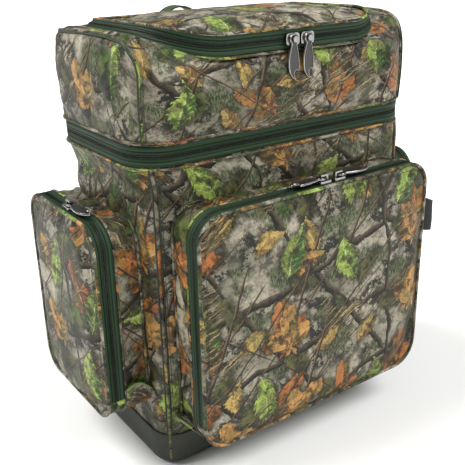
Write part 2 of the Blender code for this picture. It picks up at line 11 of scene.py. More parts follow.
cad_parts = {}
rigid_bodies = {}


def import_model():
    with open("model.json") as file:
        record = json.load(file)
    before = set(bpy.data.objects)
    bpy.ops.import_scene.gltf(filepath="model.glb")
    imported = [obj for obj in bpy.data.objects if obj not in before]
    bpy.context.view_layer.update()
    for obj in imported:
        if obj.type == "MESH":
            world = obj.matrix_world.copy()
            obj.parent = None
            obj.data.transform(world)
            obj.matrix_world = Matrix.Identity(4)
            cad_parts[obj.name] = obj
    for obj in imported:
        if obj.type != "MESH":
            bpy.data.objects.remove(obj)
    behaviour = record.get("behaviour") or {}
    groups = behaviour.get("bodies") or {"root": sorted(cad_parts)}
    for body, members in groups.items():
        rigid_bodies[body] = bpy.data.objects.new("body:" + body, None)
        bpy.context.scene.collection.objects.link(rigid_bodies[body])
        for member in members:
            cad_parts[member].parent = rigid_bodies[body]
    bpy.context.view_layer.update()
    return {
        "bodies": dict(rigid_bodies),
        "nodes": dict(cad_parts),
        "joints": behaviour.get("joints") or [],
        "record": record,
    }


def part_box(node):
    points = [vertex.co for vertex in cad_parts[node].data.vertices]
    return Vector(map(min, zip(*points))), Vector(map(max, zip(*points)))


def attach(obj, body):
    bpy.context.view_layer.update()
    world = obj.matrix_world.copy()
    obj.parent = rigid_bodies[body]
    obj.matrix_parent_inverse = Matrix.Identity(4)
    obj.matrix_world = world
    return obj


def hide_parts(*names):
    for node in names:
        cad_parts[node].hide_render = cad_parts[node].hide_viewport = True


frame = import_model()

# Sizes shared with the CAD frame.
GAP = 0.0003
HALF_WIDTH = 0.184
HALF_DEPTH = 0.100
BELT_HALF_WIDTH = 0.192
SPLIT_Z = 0.378
TAPE = 0.0105
BODY_CORNER = 0.028
BELT_CORNER = 0.045
LID_HALF_WIDTH = 0.158
LID_BACK = 0.088
LID_CORNER = 0.072
LID_BAND = 0.012
FRONT_BOX = (-0.164, 0.167, 0.050, 0.327)
SIDE_BOX = (-0.071, 0.101, 0.0715, 0.3075)
BOX_CORNER = 0.030
STRAP_OUTER = 0.154

# Sizes of the cloth and its trim.
BODY_PIPING_ANGLE = 230
TOP_PIPING_ANGLE = 222
WING_RISE = {"front": 0.014, "left": 0.034, "right": 0.034}
WING_BULGE = 0.0075
FLARE_LOW = 0.3447
FLARE_RISE = 0.022
PIPING = 0.0019
CORNER_PIPING = 0.0021
FLAP_PIPING = 0.0022
# Radius of the thin dark cords that paint the shade in a seam beside a piping.
SEAM_SHADE_RADIUS = 0.0010
HEM_RADIUS = 0.0014
STITCH_WIDTH = 0.0006
STITCH_HEIGHT = 0.0003
TOOTH_PITCH = 0.0022
TOOTH = (0.0021, 0.0013, 0.0010)
ARC_STEPS = 12
BAND_SIDES = 28
FLAT_EDGE = 0.20
SOFT_EDGE = 0.28
PUFF_FRAMES = 20
PRINT_SCALE = 0.84


# Shader arithmetic.

class Wire:
    """A node output that Python operators extend with math nodes."""

    def __init__(self, net, socket):
        self.net = net
        self.socket = socket

    def __add__(self, other):
        return self.net.math("ADD", self, other)

    def __sub__(self, other):
        return self.net.math("SUBTRACT", self, other)

    def __rsub__(self, other):
        return self.net.math("SUBTRACT", other, self)

    def __mul__(self, other):
        return self.net.math("MULTIPLY", self, other)

    def __lt__(self, other):
        return self.net.math("LESS_THAN", self, other)

    __radd__ = __add__


class Net:
    """A new material's node tree, with its Principled shader ready."""

    def __init__(self, name, roughness=0.6, metallic=0.0, specular=0.5, sheen=0.0, coat=0.0):
        self.material = bpy.data.materials.new(name)
        self.material.use_nodes = True
        self.tree = self.material.node_tree
        self.shader = self.tree.nodes["Principled BSDF"]
        self.shader.inputs["Roughness"].default_value = roughness
        self.shader.inputs["Metallic"].default_value = metallic
        self.shader.inputs["Specular IOR Level"].default_value = specular
        self.shader.inputs["Sheen Weight"].default_value = sheen
        self.shader.inputs["Coat Weight"].default_value = coat

    def node(self, kind, **settings):
        node = self.tree.nodes.new(kind)
        for key, value in settings.items():
            setattr(node, key, value)
        return node

    def plug(self, socket, value):
        if isinstance(value, Wire):
            self.tree.links.new(value.socket, socket)
        else:
            socket.default_value = value

    def math(self, operation, first, second=0.0):
        node = self.node("ShaderNodeMath", operation=operation)
        self.plug(node.inputs[0], first)
        self.plug(node.inputs[1], second)
        return Wire(self, node.outputs[0])

    def uv(self):
        """The surface's own coordinates in metres."""
        node = self.node("ShaderNodeUVMap", uv_map="UVMap")
        split = self.node("ShaderNodeSeparateXYZ")
        self.tree.links.new(node.outputs[0], split.inputs[0])
        return Wire(self, split.outputs[0]), Wire(self, split.outputs[1])

    def joined(self, u, v, w=0.0):
        node = self.node("ShaderNodeCombineXYZ")
        self.plug(node.inputs[0], u)
        self.plug(node.inputs[1], v)
        self.plug(node.inputs[2], w)
        return Wire(self, node.outputs[0])

    def noise(self, vector, scale, detail=3.0, roughness=0.55):
        node = self.node("ShaderNodeTexNoise")
        self.plug(node.inputs["Vector"], vector)
        node.inputs["Scale"].default_value = scale
        node.inputs["Detail"].default_value = detail
        node.inputs["Roughness"].default_value = roughness
        return Wire(self, node.outputs["Fac"])

    def random(self, u, v, seed):
        """Three random numbers for a cell."""
        node = self.node("ShaderNodeTexWhiteNoise", noise_dimensions="3D")
        self.plug(node.inputs["Vector"], self.joined(u, v, seed))
        split = self.node("ShaderNodeSeparateColor")
        self.tree.links.new(node.outputs["Color"], split.inputs[0])
        return [Wire(self, output) for output in split.outputs[:3]]

    def smooth(self, value, low, high):
        """Smooth step from 0 at low to 1 at high."""
        node = self.node("ShaderNodeMapRange", interpolation_type="SMOOTHSTEP")
        self.plug(node.inputs["Value"], value)
        self.plug(node.inputs["From Min"], low)
        self.plug(node.inputs["From Max"], high)
        return Wire(self, node.outputs["Result"])

    def mix(self, factor, first, second):
        """A colour between two others. Colours are wires or plain triples."""
        node = self.node("ShaderNodeMix", data_type="RGBA")
        self.plug(node.inputs["Factor"], factor)
        for socket, value in ((node.inputs[6], first), (node.inputs[7], second)):
            self.plug(socket, value if isinstance(value, Wire) else (*value, 1.0))
        return Wire(self, node.outputs[2])

    def colour(self, value):
        self.plug(self.shader.inputs["Base Color"], value)

    def bump(self, height, distance, strength=1.0):
        node = self.node("ShaderNodeBump")
        node.inputs["Distance"].default_value = distance
        node.inputs["Strength"].default_value = strength
        self.plug(node.inputs["Height"], height)
        self.tree.links.new(node.outputs[0], self.shader.inputs["Normal"])


# Camouflage print. Each layer lays a grid of cells over the cloth and draws one shape in some of them.

def turned(u, v, degrees):
    """Coordinates along and across a heading."""
    angle = math.radians(degrees)
    return u * math.cos(angle) + v * math.sin(angle), v * math.cos(angle) - u * math.sin(angle)


def cells(net, u, v, size, tilt, spread, seed):
    """Coordinates in randomly placed cells, from about -0.5 to 0.5 along a heading.

    Three of each cell's random numbers come with them.
    """
    gu, gv = turned(u, v, seed * 17.0)
    gu = gu * (1 / size) + seed * 0.37
    gv = gv * (1 / size) + seed * 0.61
    column = net.math("FLOOR", gu)
    row = net.math("FLOOR", gv)
    first = net.random(column, row, seed)
    second = net.random(column, row, seed + 0.5)
    x = gu - column - 0.5 - (second[0] - 0.5) * 0.20
    y = gv - row - 0.5 - (second[1] - 0.5) * 0.20
    angle = (first[0] - 0.5) * math.radians(spread) + math.radians(tilt - seed * 17.0)
    cosine = net.math("COSINE", angle)
    sine = net.math("SINE", angle)
    return x * cosine + y * sine, y * cosine - x * sine, first[1], first[2], second[2]


def cut_out(net, edge, present):
    """A shape's mask and its soft shadow, from the distance inside its edge."""
    return net.smooth(edge, 0.0, 0.012) * present, net.smooth(edge, -0.10, 0.03) * present


def pointed_leaf(net, u, v, size, tilt, spread, seed, presence):
    """A serrated leaf with a midrib and side veins: (mask, soft shadow, vein, lit half, along, tone)."""
    x, y, chance, tone, bend = cells(net, u, v, size, tilt, spread, seed)
    y = y + (x * x - 0.06) * (bend - 0.5) * 1.8
    along = x * (1 / 0.40)
    side = net.math("ABSOLUTE", y)
    width = (1 - along * along) * (1.0 - along * 0.38) * 0.20
    teeth = net.math("FRACT", x * 12.0 + side * 5.0)
    mask, shadow = cut_out(net, width - side - teeth * 0.045, chance < presence)
    rib = net.smooth(side, 0.014, 0.004)
    slant = net.math("FRACT", (x - side * 0.9) * 11.0)
    veins = net.smooth(net.math("ABSOLUTE", slant - 0.5), 0.14, 0.03)
    return mask, shadow, net.math("MAXIMUM", rib, veins * 0.6), net.smooth(y, -0.02, 0.02), along, tone


def lobed_leaf(net, u, v, size, tilt, spread, seed, presence):
    """An oak or maple leaf seen at a slant: (mask, soft shadow, vein, lit half, along, tone)."""
    x, y, chance, tone, bend = cells(net, u, v, size, tilt, spread, seed)
    y = y * (1.15 + bend * 0.7)
    radius = net.math("SQRT", x * x + y * y)
    angle = net.math("ARCTAN2", y, x + 0.10)
    ripple = net.math("ABSOLUTE", net.math("COSINE", angle * 2.5))
    fine = net.math("ABSOLUTE", net.math("SINE", angle * 11.0 + bend * 6.0))
    reach = ripple * 0.24 + net.math("COSINE", angle) * 0.10 + fine * 0.045 + 0.08
    mask, shadow = cut_out(net, reach - radius, chance < presence)
    spoke = net.math("ABSOLUTE", net.math("SINE", angle * 2.5)) * radius
    lit = net.smooth(net.math("SINE", angle * 5.0), -0.4, 0.4)
    return mask, shadow, net.smooth(spoke, 0.020, 0.004), lit, radius * 2.4, tone


def branches(net, u, v, direction, spacing, thickness, seed, presence):
    """Long wavering limbs in one direction: (mask, share of the width across, along in metres)."""
    along, across = turned(u, v, direction)
    wave = 0.6 if thickness > 0.0025 else 0.35
    sway = net.noise(net.joined(along * 6.0, seed), 1.0, 3.0) - 0.5
    lane = (across + sway * spacing * wave) * (1 / spacing) + seed
    row = net.math("FLOOR", lane)
    chance, offset, shift = net.random(row, 0.0, seed)
    place = (lane - row - 0.5 - (offset - 0.5) * 0.5) * spacing
    stretch = net.noise(net.joined(along * 7.0 + shift * 9.0, row), 1.0, 1.0)
    knots = net.noise(net.joined(along * 90.0, row), 1.0, 3.0)
    half = (knots * 1.3 + 0.35) * thickness * net.smooth(stretch, 0.40, 0.48)
    side = net.math("ABSOLUTE", place)
    mask = net.smooth(half - side, 0.0, 0.0005) * (chance < presence)
    return mask, place * (1 / thickness), along


def add_branches(net, result, wu, wv, table, dark, light):
    """Limbs over the print. Table rows: direction, spacing, thickness, seed, presence."""
    for direction, spacing, thickness, seed, presence in table:
        mask, place, along = branches(net, wu, wv, direction, spacing, thickness, seed, presence)
        bark = net.noise(net.joined(along * 60.0, place * 2.5), 3.0, 4.0, 0.7)
        lit = net.smooth(place * 0.35 + bark, 0.30, 0.85)
        result = net.mix(net.smooth(mask, 0.0, 0.9), result, net.mix(lit, dark, light))
    return result


def add_leaves(net, result, u, v, wu, wv, table):
    """Leaves over the print, by LEAVES name: each has blotches, drifting moss, veins and scorched spots."""
    for name in table:
        draw, size, tilt, spread, seed, presence, dark, light, vein = LEAVES[name]
        mask, shadow, veins, lit, along, tone = draw(net, wu, wv, size, tilt, spread, seed, presence)
        result = net.mix((shadow - mask) * 0.85, result, (0.010, 0.010, 0.007))
        patch = net.noise(net.joined(u + seed, v), 120.0, 5.0, 0.72)
        grain = net.noise(net.joined(v, u + seed), 420.0, 4.0, 0.75) - 0.5
        shade = patch * 1.7 + tone * 0.34 - 0.66 + lit * 0.30 + along * 0.20 + grain * 0.8
        body = net.mix(net.smooth(shade, 0.20, 0.84), dark, light)
        drift = net.noise(net.joined(u + seed * 3.0, v), 48.0, 3.0, 0.6)
        body = net.mix(net.smooth(drift, 0.46, 0.60) * 0.62, body, (0.130, 0.125, 0.040))
        body = net.mix(veins * net.smooth(patch, 0.35, 0.6) * 0.6, body, vein)
        scorch = net.noise(net.joined(u, v + seed), 85.0, 3.0, 0.6)
        body = net.mix(net.smooth(scorch, 0.52, 0.62) * 0.8, body, (0.022, 0.018, 0.010))
        result = net.mix(mask, result, body)
    return result


# Form, size, tilt, spread of the tilt, seed, presence, then dark, light and vein colours.
LEAVES = {
    "deep_green": (pointed_leaf, 0.072, 80, 150, 11.0, 0.62,
                   (0.006, 0.016, 0.004), (0.050, 0.100, 0.018), (0.09, 0.15, 0.04)),
    "olive": (pointed_leaf, 0.058, 20, 300, 13.0, 0.46,
              (0.008, 0.010, 0.005), (0.060, 0.065, 0.028), (0.10, 0.10, 0.05)),
    "rust": (lobed_leaf, 0.088, 95, 120, 21.0, 0.66,
             (0.055, 0.020, 0.008), (0.385, 0.135, 0.036), (0.54, 0.36, 0.13)),
    "ochre": (pointed_leaf, 0.050, 110, 200, 31.0, 0.36,
              (0.110, 0.060, 0.020), (0.430, 0.290, 0.085), (0.58, 0.46, 0.20)),
    "amber": (lobed_leaf, 0.078, 70, 160, 53.0, 0.36,
              (0.090, 0.040, 0.014), (0.460, 0.240, 0.070), (0.60, 0.43, 0.17)),
    "bright_green": (pointed_leaf, 0.074, 78, 70, 47.0, 0.56,
                     (0.028, 0.066, 0.014), (0.275, 0.375, 0.070), (0.52, 0.62, 0.25)),
}
LIMBS = ((-52, 0.080, 0.0036, 3.0, 0.66), (14, 0.076, 0.0038, 8.0, 0.82), (-83, 0.110, 0.0030, 5.0, 0.55))
TWIGS = ((45, 0.036, 0.0013, 14.0, 0.80), (-38, 0.060, 0.0011, 19.0, 0.7), (70, 0.056, 0.0019, 27.0, 0.72),
         (38, 0.026, 0.0008, 33.0, 0.62))


def camo_material():
    """Forest litter: mottled ground, limbs, leaves, twigs, dry straw and dark murk over it all."""
    net = Net("camo_fabric", roughness=0.50, specular=0.22)
    thread_u, thread_v = net.uv()
    u, v = thread_u * PRINT_SCALE, thread_v * PRINT_SCALE
    flat = net.joined(u, v)
    rag = (net.noise(flat, 230.0, 3.0, 0.6) - 0.5) * 0.0026
    wu = u + (net.noise(flat, 40.0, 3.0) - 0.5) * 0.012 + rag
    wv = v + (net.noise(net.joined(v, u), 40.0, 3.0) - 0.5) * 0.012 - rag

    broad = net.noise(flat, 14.0, 4.0, 0.6)
    ground = net.mix(net.smooth(broad, 0.34, 0.64), (0.160, 0.146, 0.104), (0.380, 0.345, 0.262))
    fine = net.noise(flat, 190.0, 5.0, 0.75)
    ground = net.mix(net.smooth(fine, 0.44, 0.66) * 0.6, ground, (0.060, 0.055, 0.043))
    patches = net.smooth(net.noise(net.joined(u + 3.0, v * 1.3), 17.0, 2.0, 0.5), 0.44, 0.54)
    smoke = net.noise(net.joined(u + 3.0, v), 70.0, 6.0, 0.78)
    ground = net.mix(net.smooth(smoke, 0.46, 0.53) * patches, ground, (0.014, 0.015, 0.012))
    needles = net.noise(net.joined(u * 2.5, v * 0.6 + 4.0), 300.0, 4.0, 0.7)
    moss = net.smooth(net.noise(net.joined(u + 7.0, v + 2.0), 26.0, 4.0, 0.6), 0.52, 0.59)
    mossy = net.mix(net.smooth(needles, 0.42, 0.58), (0.012, 0.018, 0.007), (0.120, 0.145, 0.070))
    ground = net.mix(moss * 0.9, ground, mossy)

    result = add_branches(net, ground, wu, wv, LIMBS, (0.006, 0.006, 0.004), (0.088, 0.068, 0.044))
    result = add_leaves(net, result, u, v, wu, wv, ("deep_green", "olive", "rust", "ochre"))
    straight_u, straight_v = u + (wu - u) * 0.25, v + (wv - v) * 0.25
    result = add_branches(net, result, straight_u, straight_v, TWIGS,
                          (0.010, 0.007, 0.004), (0.170, 0.110, 0.066))
    result = add_leaves(net, result, u, v, wu, wv, ("amber", "bright_green"))
    straw = net.smooth(net.noise(net.joined(u + 1.0, v + 5.0), 15.0, 2.0, 0.5), 0.56, 0.62)
    along, across = turned(wu, wv, 28)
    blades = net.noise(net.joined(along * 14.0, across * 420.0), 1.0, 3.0, 0.6)
    blade_colour = net.mix(net.smooth(blades, 0.50, 0.70), (0.012, 0.009, 0.005), (0.400, 0.310, 0.150))
    result = net.mix(straw * net.smooth(blades, 0.47, 0.53), result, blade_colour)
    murk = net.noise(net.joined(v + 6.0, u), 46.0, 6.0, 0.78)
    result = net.mix(net.smooth(murk, 0.48, 0.62) * 0.76, result, (0.016, 0.015, 0.008))
    net.colour(result)

    weave = net.math("SINE", thread_u * 4400.0) * net.math("SINE", thread_v * 4400.0)
    crumple = net.noise(flat, 30.0, 3.0, 0.5)
    net.bump(weave * 0.00005 + crumple * 0.0032, 1.0, 0.5)
    return net.material


def coil_material():
    net = Net("zip_coil", roughness=0.45, specular=0.22)
    net.colour(net.mix(net.noise(net.joined(*net.uv()), 300.0), (0.006, 0.010, 0.006), (0.022, 0.032, 0.018)))
    return net.material


def tape_material():
    """Woven zip tape, with painted shade in its crease and next to the coil and a painted highlight along its
    raised band. V is the distance from the coil in metres.
    """
    net = Net("zip_tape", roughness=0.6, specular=0.22)
    u, v = net.uv()
    fleck = net.noise(net.joined(u * 3.0, v), 700.0, 2.0)
    green = net.mix(fleck, (0.006, 0.018, 0.007), (0.014, 0.036, 0.014))
    # Painted shade: darker in the tape's crease and next to the coil.
    painted_crease_shade = net.smooth(net.math("ABSOLUTE", v - 0.0050), 0.0007, 0.0002)
    painted_crease_shade = net.math("MAXIMUM", painted_crease_shade, net.smooth(v, 0.0022, 0.0012))
    green = net.mix(painted_crease_shade * 0.85, green, (0.002, 0.004, 0.002))
    # Painted highlight: lighter along the tape's raised band.
    painted_ridge_highlight = net.smooth(net.math("ABSOLUTE", v - 0.0068), 0.0013, 0.0003)
    net.colour(net.mix(painted_ridge_highlight * 0.5, green, (0.024, 0.056, 0.024)))
    ribs = net.math("SINE", u * 6000.0)
    net.bump(ribs * 0.00006, 1.0, 0.6)
    return net.material


def webbing_material(name, dark, light, pitch=0.0018):
    net = Net(name, roughness=0.75, specular=0.25, sheen=0.05)
    u, v = net.uv()
    turn = 6.283 / pitch
    twill = net.math("SINE", u * turn + v * turn) * net.math("SINE", u * turn - v * turn)
    net.colour(net.mix(net.smooth(twill, -0.6, 0.6), dark, light))
    net.bump(twill * 0.00012, 1.0, 0.7)
    return net.material


def mesh_material():
    """Three-dimensional air mesh: rows of small round openings over a dark foam."""
    net = Net("air_mesh", roughness=0.85, specular=0.25, sheen=0.25)
    u, v = net.uv()
    holes = net.math("SINE", u * 2100.0) * net.math("SINE", v * 2100.0)
    net.colour(net.mix(net.smooth(holes, 0.25, 0.75), (0.022, 0.034, 0.020), (0.004, 0.005, 0.004)))
    net.bump(holes * -0.0003, 1.0, 0.8)
    return net.material


def base_material():
    """Moulded base with a fine diagonal basket texture."""
    net = Net("base_moulding", roughness=0.48, specular=0.28)
    u, v = net.uv()
    p, q = turned(u, v, 42)
    grain = net.math("SINE", p * 3100.0) * 0.6 + net.math("SINE", q * 2300.0) * 0.4
    cloud = net.noise(net.joined(u, v), 60.0, 4.0)
    tone = net.mix(cloud, (0.009, 0.011, 0.008), (0.022, 0.026, 0.019))
    net.colour(net.mix(net.smooth(grain, -0.2, 0.8) * 0.7, tone, (0.058, 0.064, 0.050)))
    net.bump(grain * 0.00026, 1.0, 0.9)
    return net.material


def plain_material(name, dark, light, roughness, metallic=0.0, scale=300.0, bump=0.0, coat=0.0):
    net = Net(name, roughness=roughness, metallic=metallic, coat=coat)
    place = Wire(net, net.node("ShaderNodeTexCoord").outputs["Object"])
    speckle = net.noise(place, scale, 3.0)
    net.colour(net.mix(speckle, dark, light))
    if bump:
        net.bump(speckle, bump, 0.5)
    return net.material


CAMO = camo_material()
TAPE_CLOTH = tape_material()
COIL = coil_material()
WEBBING = webbing_material("webbing", (0.010, 0.022, 0.009), (0.035, 0.070, 0.028))
# Dark stitching colour, also used for the cords of painted shade in the seams.
THREAD_AND_SEAM_SHADE = plain_material("thread_and_seam_shade", (0.010, 0.016, 0.008), (0.030, 0.042, 0.022), 0.75)
LINING = webbing_material("lining", (0.020, 0.026, 0.018), (0.040, 0.050, 0.034), 0.0012)
AIR_MESH = mesh_material()
BASE = base_material()
BRIGHT = plain_material("bright_metal", (0.27, 0.26, 0.25), (0.38, 0.37, 0.36), 0.26, 1.0, 500.0, 0.00002)
GUNMETAL = plain_material("gunmetal", (0.050, 0.048, 0.048), (0.10, 0.098, 0.095), 0.36, 0.9, 700.0, 0.00003)
NYLON = plain_material("black_nylon", (0.010, 0.011, 0.010), (0.018, 0.019, 0.018), 0.42, 0.0, 900.0, 0.00003)
LABEL_CLOTH = webbing_material("label_cloth", (0.006, 0.006, 0.006), (0.016, 0.016, 0.016), 0.0009)
BOARD = plain_material("stiffener", (0.030, 0.032, 0.030), (0.050, 0.052, 0.048), 0.7, 0.0, 80.0)
HEM = plain_material("bound_hem", (0.050, 0.090, 0.018), (0.200, 0.270, 0.070), 0.6, 0.0, 160.0)


# Geometry.

def clamp(value, low=0.0, high=1.0):
    return min(max(value, low), high)


def ease(value):
    value = clamp(value)
    return value * value * (3 - 2 * value)


def mirrored(side, degrees):
    """An angle seen from above, given for the left side, on either side."""
    return degrees if side < 0 else 540 - degrees


def inset(box, margin):
    left, right, low, high = box
    return left + margin, right - margin, low + margin, high - margin


def outline(box, low_radius, high_radius):
    """Rounded rectangle, counter-clockwise from its low left corner."""
    left, right, low, high = box
    corners = (
        (left + low_radius, low + low_radius, low_radius, 180),
        (right - low_radius, low + low_radius, low_radius, 270),
        (right - high_radius, high - high_radius, high_radius, 0),
        (left + high_radius, high - high_radius, high_radius, 90),
    )
    points = []
    for u, v, radius, start in corners:
        for step in range(ARC_STEPS + 1):
            angle = math.radians(start + 90 * step / ARC_STEPS)
            points.append(Vector((u + radius * math.cos(angle), v + radius * math.sin(angle))))
    return points


def lengths(points):
    """Running length of a path at each of its points."""
    total = [0.0]
    for first, second in zip(points, points[1:]):
        total.append(total[-1] + (second - first).length)
    return total


def resampled(points, count, closed=False):
    """Evenly spaced points along a path. A closed path leaves out the repeated last point."""
    path = list(points) + [points[0]] if closed else list(points)
    total = lengths(path)
    spans = count if closed else count - 1
    result = []
    index = 0
    for step in range(count):
        wanted = total[-1] * step / spans
        while index < len(path) - 2 and total[index + 1] < wanted:
            index += 1
        span = total[index + 1] - total[index]
        share = (wanted - total[index]) / span if span > 1e-9 else 0.0
        result.append(path[index].lerp(path[index + 1], clamp(share)))
    return result


def heading(path, index):
    """Direction of an open path at one of its points."""
    return (path[min(index + 1, len(path) - 1)] - path[max(index - 1, 0)]).normalized()


def square_to(vector, along):
    """The part of a vector at right angles to a direction, at unit length."""
    return (vector - along * vector.dot(along)).normalized()


def smooth_path(points, count):
    """Points on a Catmull-Rom curve through the given ones."""
    padded = [2 * points[0] - points[1]] + points + [2 * points[-1] - points[-2]]
    spans = len(points) - 1
    result = []
    for step in range(count):
        place = step * spans / (count - 1)
        index = min(int(place), spans - 1)
        t = place - index
        a, b, c, d = padded[index:index + 4]
        result.append((2 * b + (c - a) * t + (2 * a - 5 * b + 4 * c - d) * t * t
                       + (3 * b - 3 * c + d - a) * t ** 3) / 2)
    return result


class Piece:
    """One visible object in the making: vertices, faces, their coordinates on the cloth and their materials."""

    def __init__(self, name, materials):
        self.name = name
        self.materials = materials
        self.verts = []
        self.faces = []
        self.uvs = []
        self.slots = []
        self.loose = []
        self.decor = None

    @property
    def trim(self):
        """Piping and stitches, which are joined on after the cloth has its final shape."""
        if self.decor is None:
            self.decor = Piece(self.name + "_trim", self.materials)
        return self.decor

    def face(self, corners, uvs, slot):
        self.faces.append(corners)
        self.uvs.append(uvs)
        self.slots.append(slot)

    def grid(self, rows, closed=False, slot=0, uv=None, shift=(0.0, 0.0), free=None):
        """Quads between rows of points.

        free(row, column) says how far the cloth may move there, from 0 to 1.
        """
        start = len(self.verts)
        count = len(rows[0])
        for i, row in enumerate(rows):
            for j, point in enumerate(row):
                self.verts.append(Vector(point))
                self.loose.append(free(i, j) if free else 0.0)
        middle = rows[len(rows) // 2]
        across = lengths(list(middle) + [middle[0]])
        up = lengths([row[count // 2] for row in rows])
        for i in range(len(rows) - 1):
            for j in range(count if closed else count - 1):
                k = (j + 1) % count
                corners = (start + i * count + j, start + i * count + k,
                           start + (i + 1) * count + k, start + (i + 1) * count + j)
                if uv:
                    places = [uv(self.verts[corner]) for corner in corners]
                else:
                    left, right = across[j] + shift[0], across[j + 1] + shift[0]
                    low, high = up[i] + shift[1], up[i + 1] + shift[1]
                    places = [(left, low), (right, low), (right, high), (left, high)]
                self.face(corners, places, slot)

    def turn_over(self, start):
        """Reverse every face from this one on."""
        for index in range(start, len(self.faces)):
            self.faces[index] = tuple(reversed(self.faces[index]))
            self.uvs[index] = list(reversed(self.uvs[index]))

    def cap(self, row, slot, uv, flip=False):
        """One face over a closed row."""
        start = len(self.verts)
        self.verts += [Vector(point) for point in row]
        self.loose += [0.0] * len(row)
        corners = list(range(start, start + len(row)))
        if flip:
            corners.reverse()
        self.face(corners, [uv(self.verts[corner]) for corner in corners], slot)

    def tube(self, path, radius, closed=False, slot=0, sides=8, shift=(0.0, 0.0)):
        """A round cord along a path."""
        rows = []
        count = len(path)
        for i, centre in enumerate(path):
            before = path[(i - 1) % count] if closed else path[max(i - 1, 0)]
            after = path[(i + 1) % count] if closed else path[min(i + 1, count - 1)]
            along = (after - before).normalized()
            helper = Vector((0, 0, 1)) if abs(along.z) < 0.9 else Vector((0, 1, 0))
            first = along.cross(helper).normalized()
            second = along.cross(first)
            if rows:
                first = square_to((rows[-1][0] - path[i - 1]).normalized(), along)
                second = along.cross(first)
            turns = [math.tau * k / sides for k in range(sides)]
            rows.append([centre + (first * math.cos(turn) + second * math.sin(turn)) * radius for turn in turns])
        if closed:
            rows.append(rows[0])
        start = len(self.faces)
        self.grid(rows, closed=True, slot=slot, shift=shift)
        self.turn_over(start)
        if not closed:
            self.cap(rows[0], slot, lambda p: (p.x, p.z))
            self.cap(rows[-1], slot, lambda p: (p.x, p.z), flip=True)

    def block(self, centre, along, out, size, slot):
        """A small block that narrows at the top: a stitch, a zip tooth."""
        side = out.cross(along).normalized()
        start = len(self.verts)
        half_length, half_width, height = size[0] / 2, size[1] / 2, size[2]
        for level, shrink in ((-0.3, 1.0), (0.65, 1.0), (1.0, 0.72)):
            for a, b in ((-1, -1), (1, -1), (1, 1), (-1, 1)):
                self.verts.append(centre + along * (a * half_length * shrink) + side * (b * half_width * shrink)
                                  + out * (height * level))
                self.loose.append(0.0)
        for level in range(2):
            for k in range(4):
                a = start + level * 4
                self.face((a + k, a + (k + 1) % 4, a + 4 + (k + 1) % 4, a + 4 + k), [(0, 0)] * 4, slot)
        self.face(tuple(start + 8 + k for k in range(4)), [(0, 0)] * 4, slot)

    def stitches(self, path, normals, slot, pitch=0.0032, length=0.0026):
        """A row of raised stitches along a path."""
        count = max(int(lengths(path)[-1] / pitch), 2)
        places = resampled(path, count)
        outs = resampled(normals, count)
        for i in range(count - 1):
            along = (places[i + 1] - places[i]).normalized()
            self.block((places[i] + places[i + 1]) / 2, along, outs[i].normalized(),
                       (length, STITCH_WIDTH, STITCH_HEIGHT), slot)

    def build(self):
        """The piece as a mesh object, without its trim."""
        mesh = bpy.data.meshes.new(self.name)
        mesh.from_pydata(self.verts, [], self.faces)
        layer = mesh.uv_layers.new(name="UVMap")
        layer.data.foreach_set("uv", [number for places in self.uvs for place in places for number in place])
        for material in self.materials:
            mesh.materials.append(material)
        mesh.polygons.foreach_set("material_index", self.slots)
        mesh.polygons.foreach_set("use_smooth", [True] * len(self.faces))
        mesh.set_sharp_from_angle(angle=math.radians(50))
        mesh.update()
        obj = bpy.data.objects.new(self.name, mesh)
        bpy.context.scene.collection.objects.link(obj)
        return obj


finished = []
waiting = []


def place(piece, body, slot, nodes, thickness=0.0, inner=0, pressure=0.0, cap=0.004, pad=None):
    """Build a piece, ride it on its body and, if it has a pressure, queue it for the cloth simulation."""
    obj = piece.build()
    if pressure:
        waiting.append((obj, piece, pressure, cap))
    finished.append((obj, piece, thickness, inner, pressure))
    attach(obj, body)
    if nodes:
        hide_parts(*nodes)
    return obj


def inflate():
    """Let the waiting cloth puff out between its seams, with the movement capped."""
    scene = bpy.context.scene
    for obj, piece, pressure, cap in waiting:
        group = obj.vertex_groups.new(name="held")
        for index, loose in enumerate(piece.loose):
            if loose < 1.0:
                group.add([index], 1.0 - loose, "REPLACE")
        cloth = obj.modifiers.new("Puff", "CLOTH")
        settings = cloth.settings
        settings.quality = 6
        settings.mass = 0.12
        settings.tension_stiffness = 12
        settings.compression_stiffness = 12
        settings.bending_stiffness = 0.4
        settings.vertex_group_mass = "held"
        settings.use_pressure = True
        settings.uniform_pressure_force = pressure
        settings.shrink_min = -0.035
        settings.effector_weights.gravity = 0.0
        cloth.point_cache.frame_start = 1
        cloth.point_cache.frame_end = PUFF_FRAMES
    for number in range(1, PUFF_FRAMES + 1):
        scene.frame_set(number)
    graph = bpy.context.evaluated_depsgraph_get()
    for obj, piece, pressure, cap in waiting:
        moved = [vertex.co.copy() for vertex in obj.evaluated_get(graph).data.vertices]
        for vertex, rest, now in zip(obj.data.vertices, piece.verts, moved):
            step = now - rest
            if step.length > cap:
                step *= cap / step.length
            vertex.co = rest + step
        obj.modifiers.remove(obj.modifiers["Puff"])
    scene.frame_set(1)


# Outlines of the body at a height, as in the CAD frame.

def plan(half_width, half_depth, front_radius, back_radius, height, count):
    flat = outline((-half_width, half_width, -half_depth, half_depth), front_radius, back_radius)
    return [Vector((p.x, p.y, height)) for p in resampled(flat, count, closed=True)]


def body_section(height):
    """Half the body's width and its front corner's radius, which both grow where it flares."""
    flare = clamp((height - FLARE_LOW) / FLARE_RISE)
    half_width = HALF_WIDTH + (BELT_HALF_WIDTH - HALF_WIDTH) * flare
    return half_width, BODY_CORNER + (BELT_CORNER - BODY_CORNER) * flare


def body_row(height, count, grow=0.0):
    half_width, corner = body_section(height)
    return plan(half_width + grow, HALF_DEPTH + grow, corner + grow, BODY_CORNER + grow, height, count)


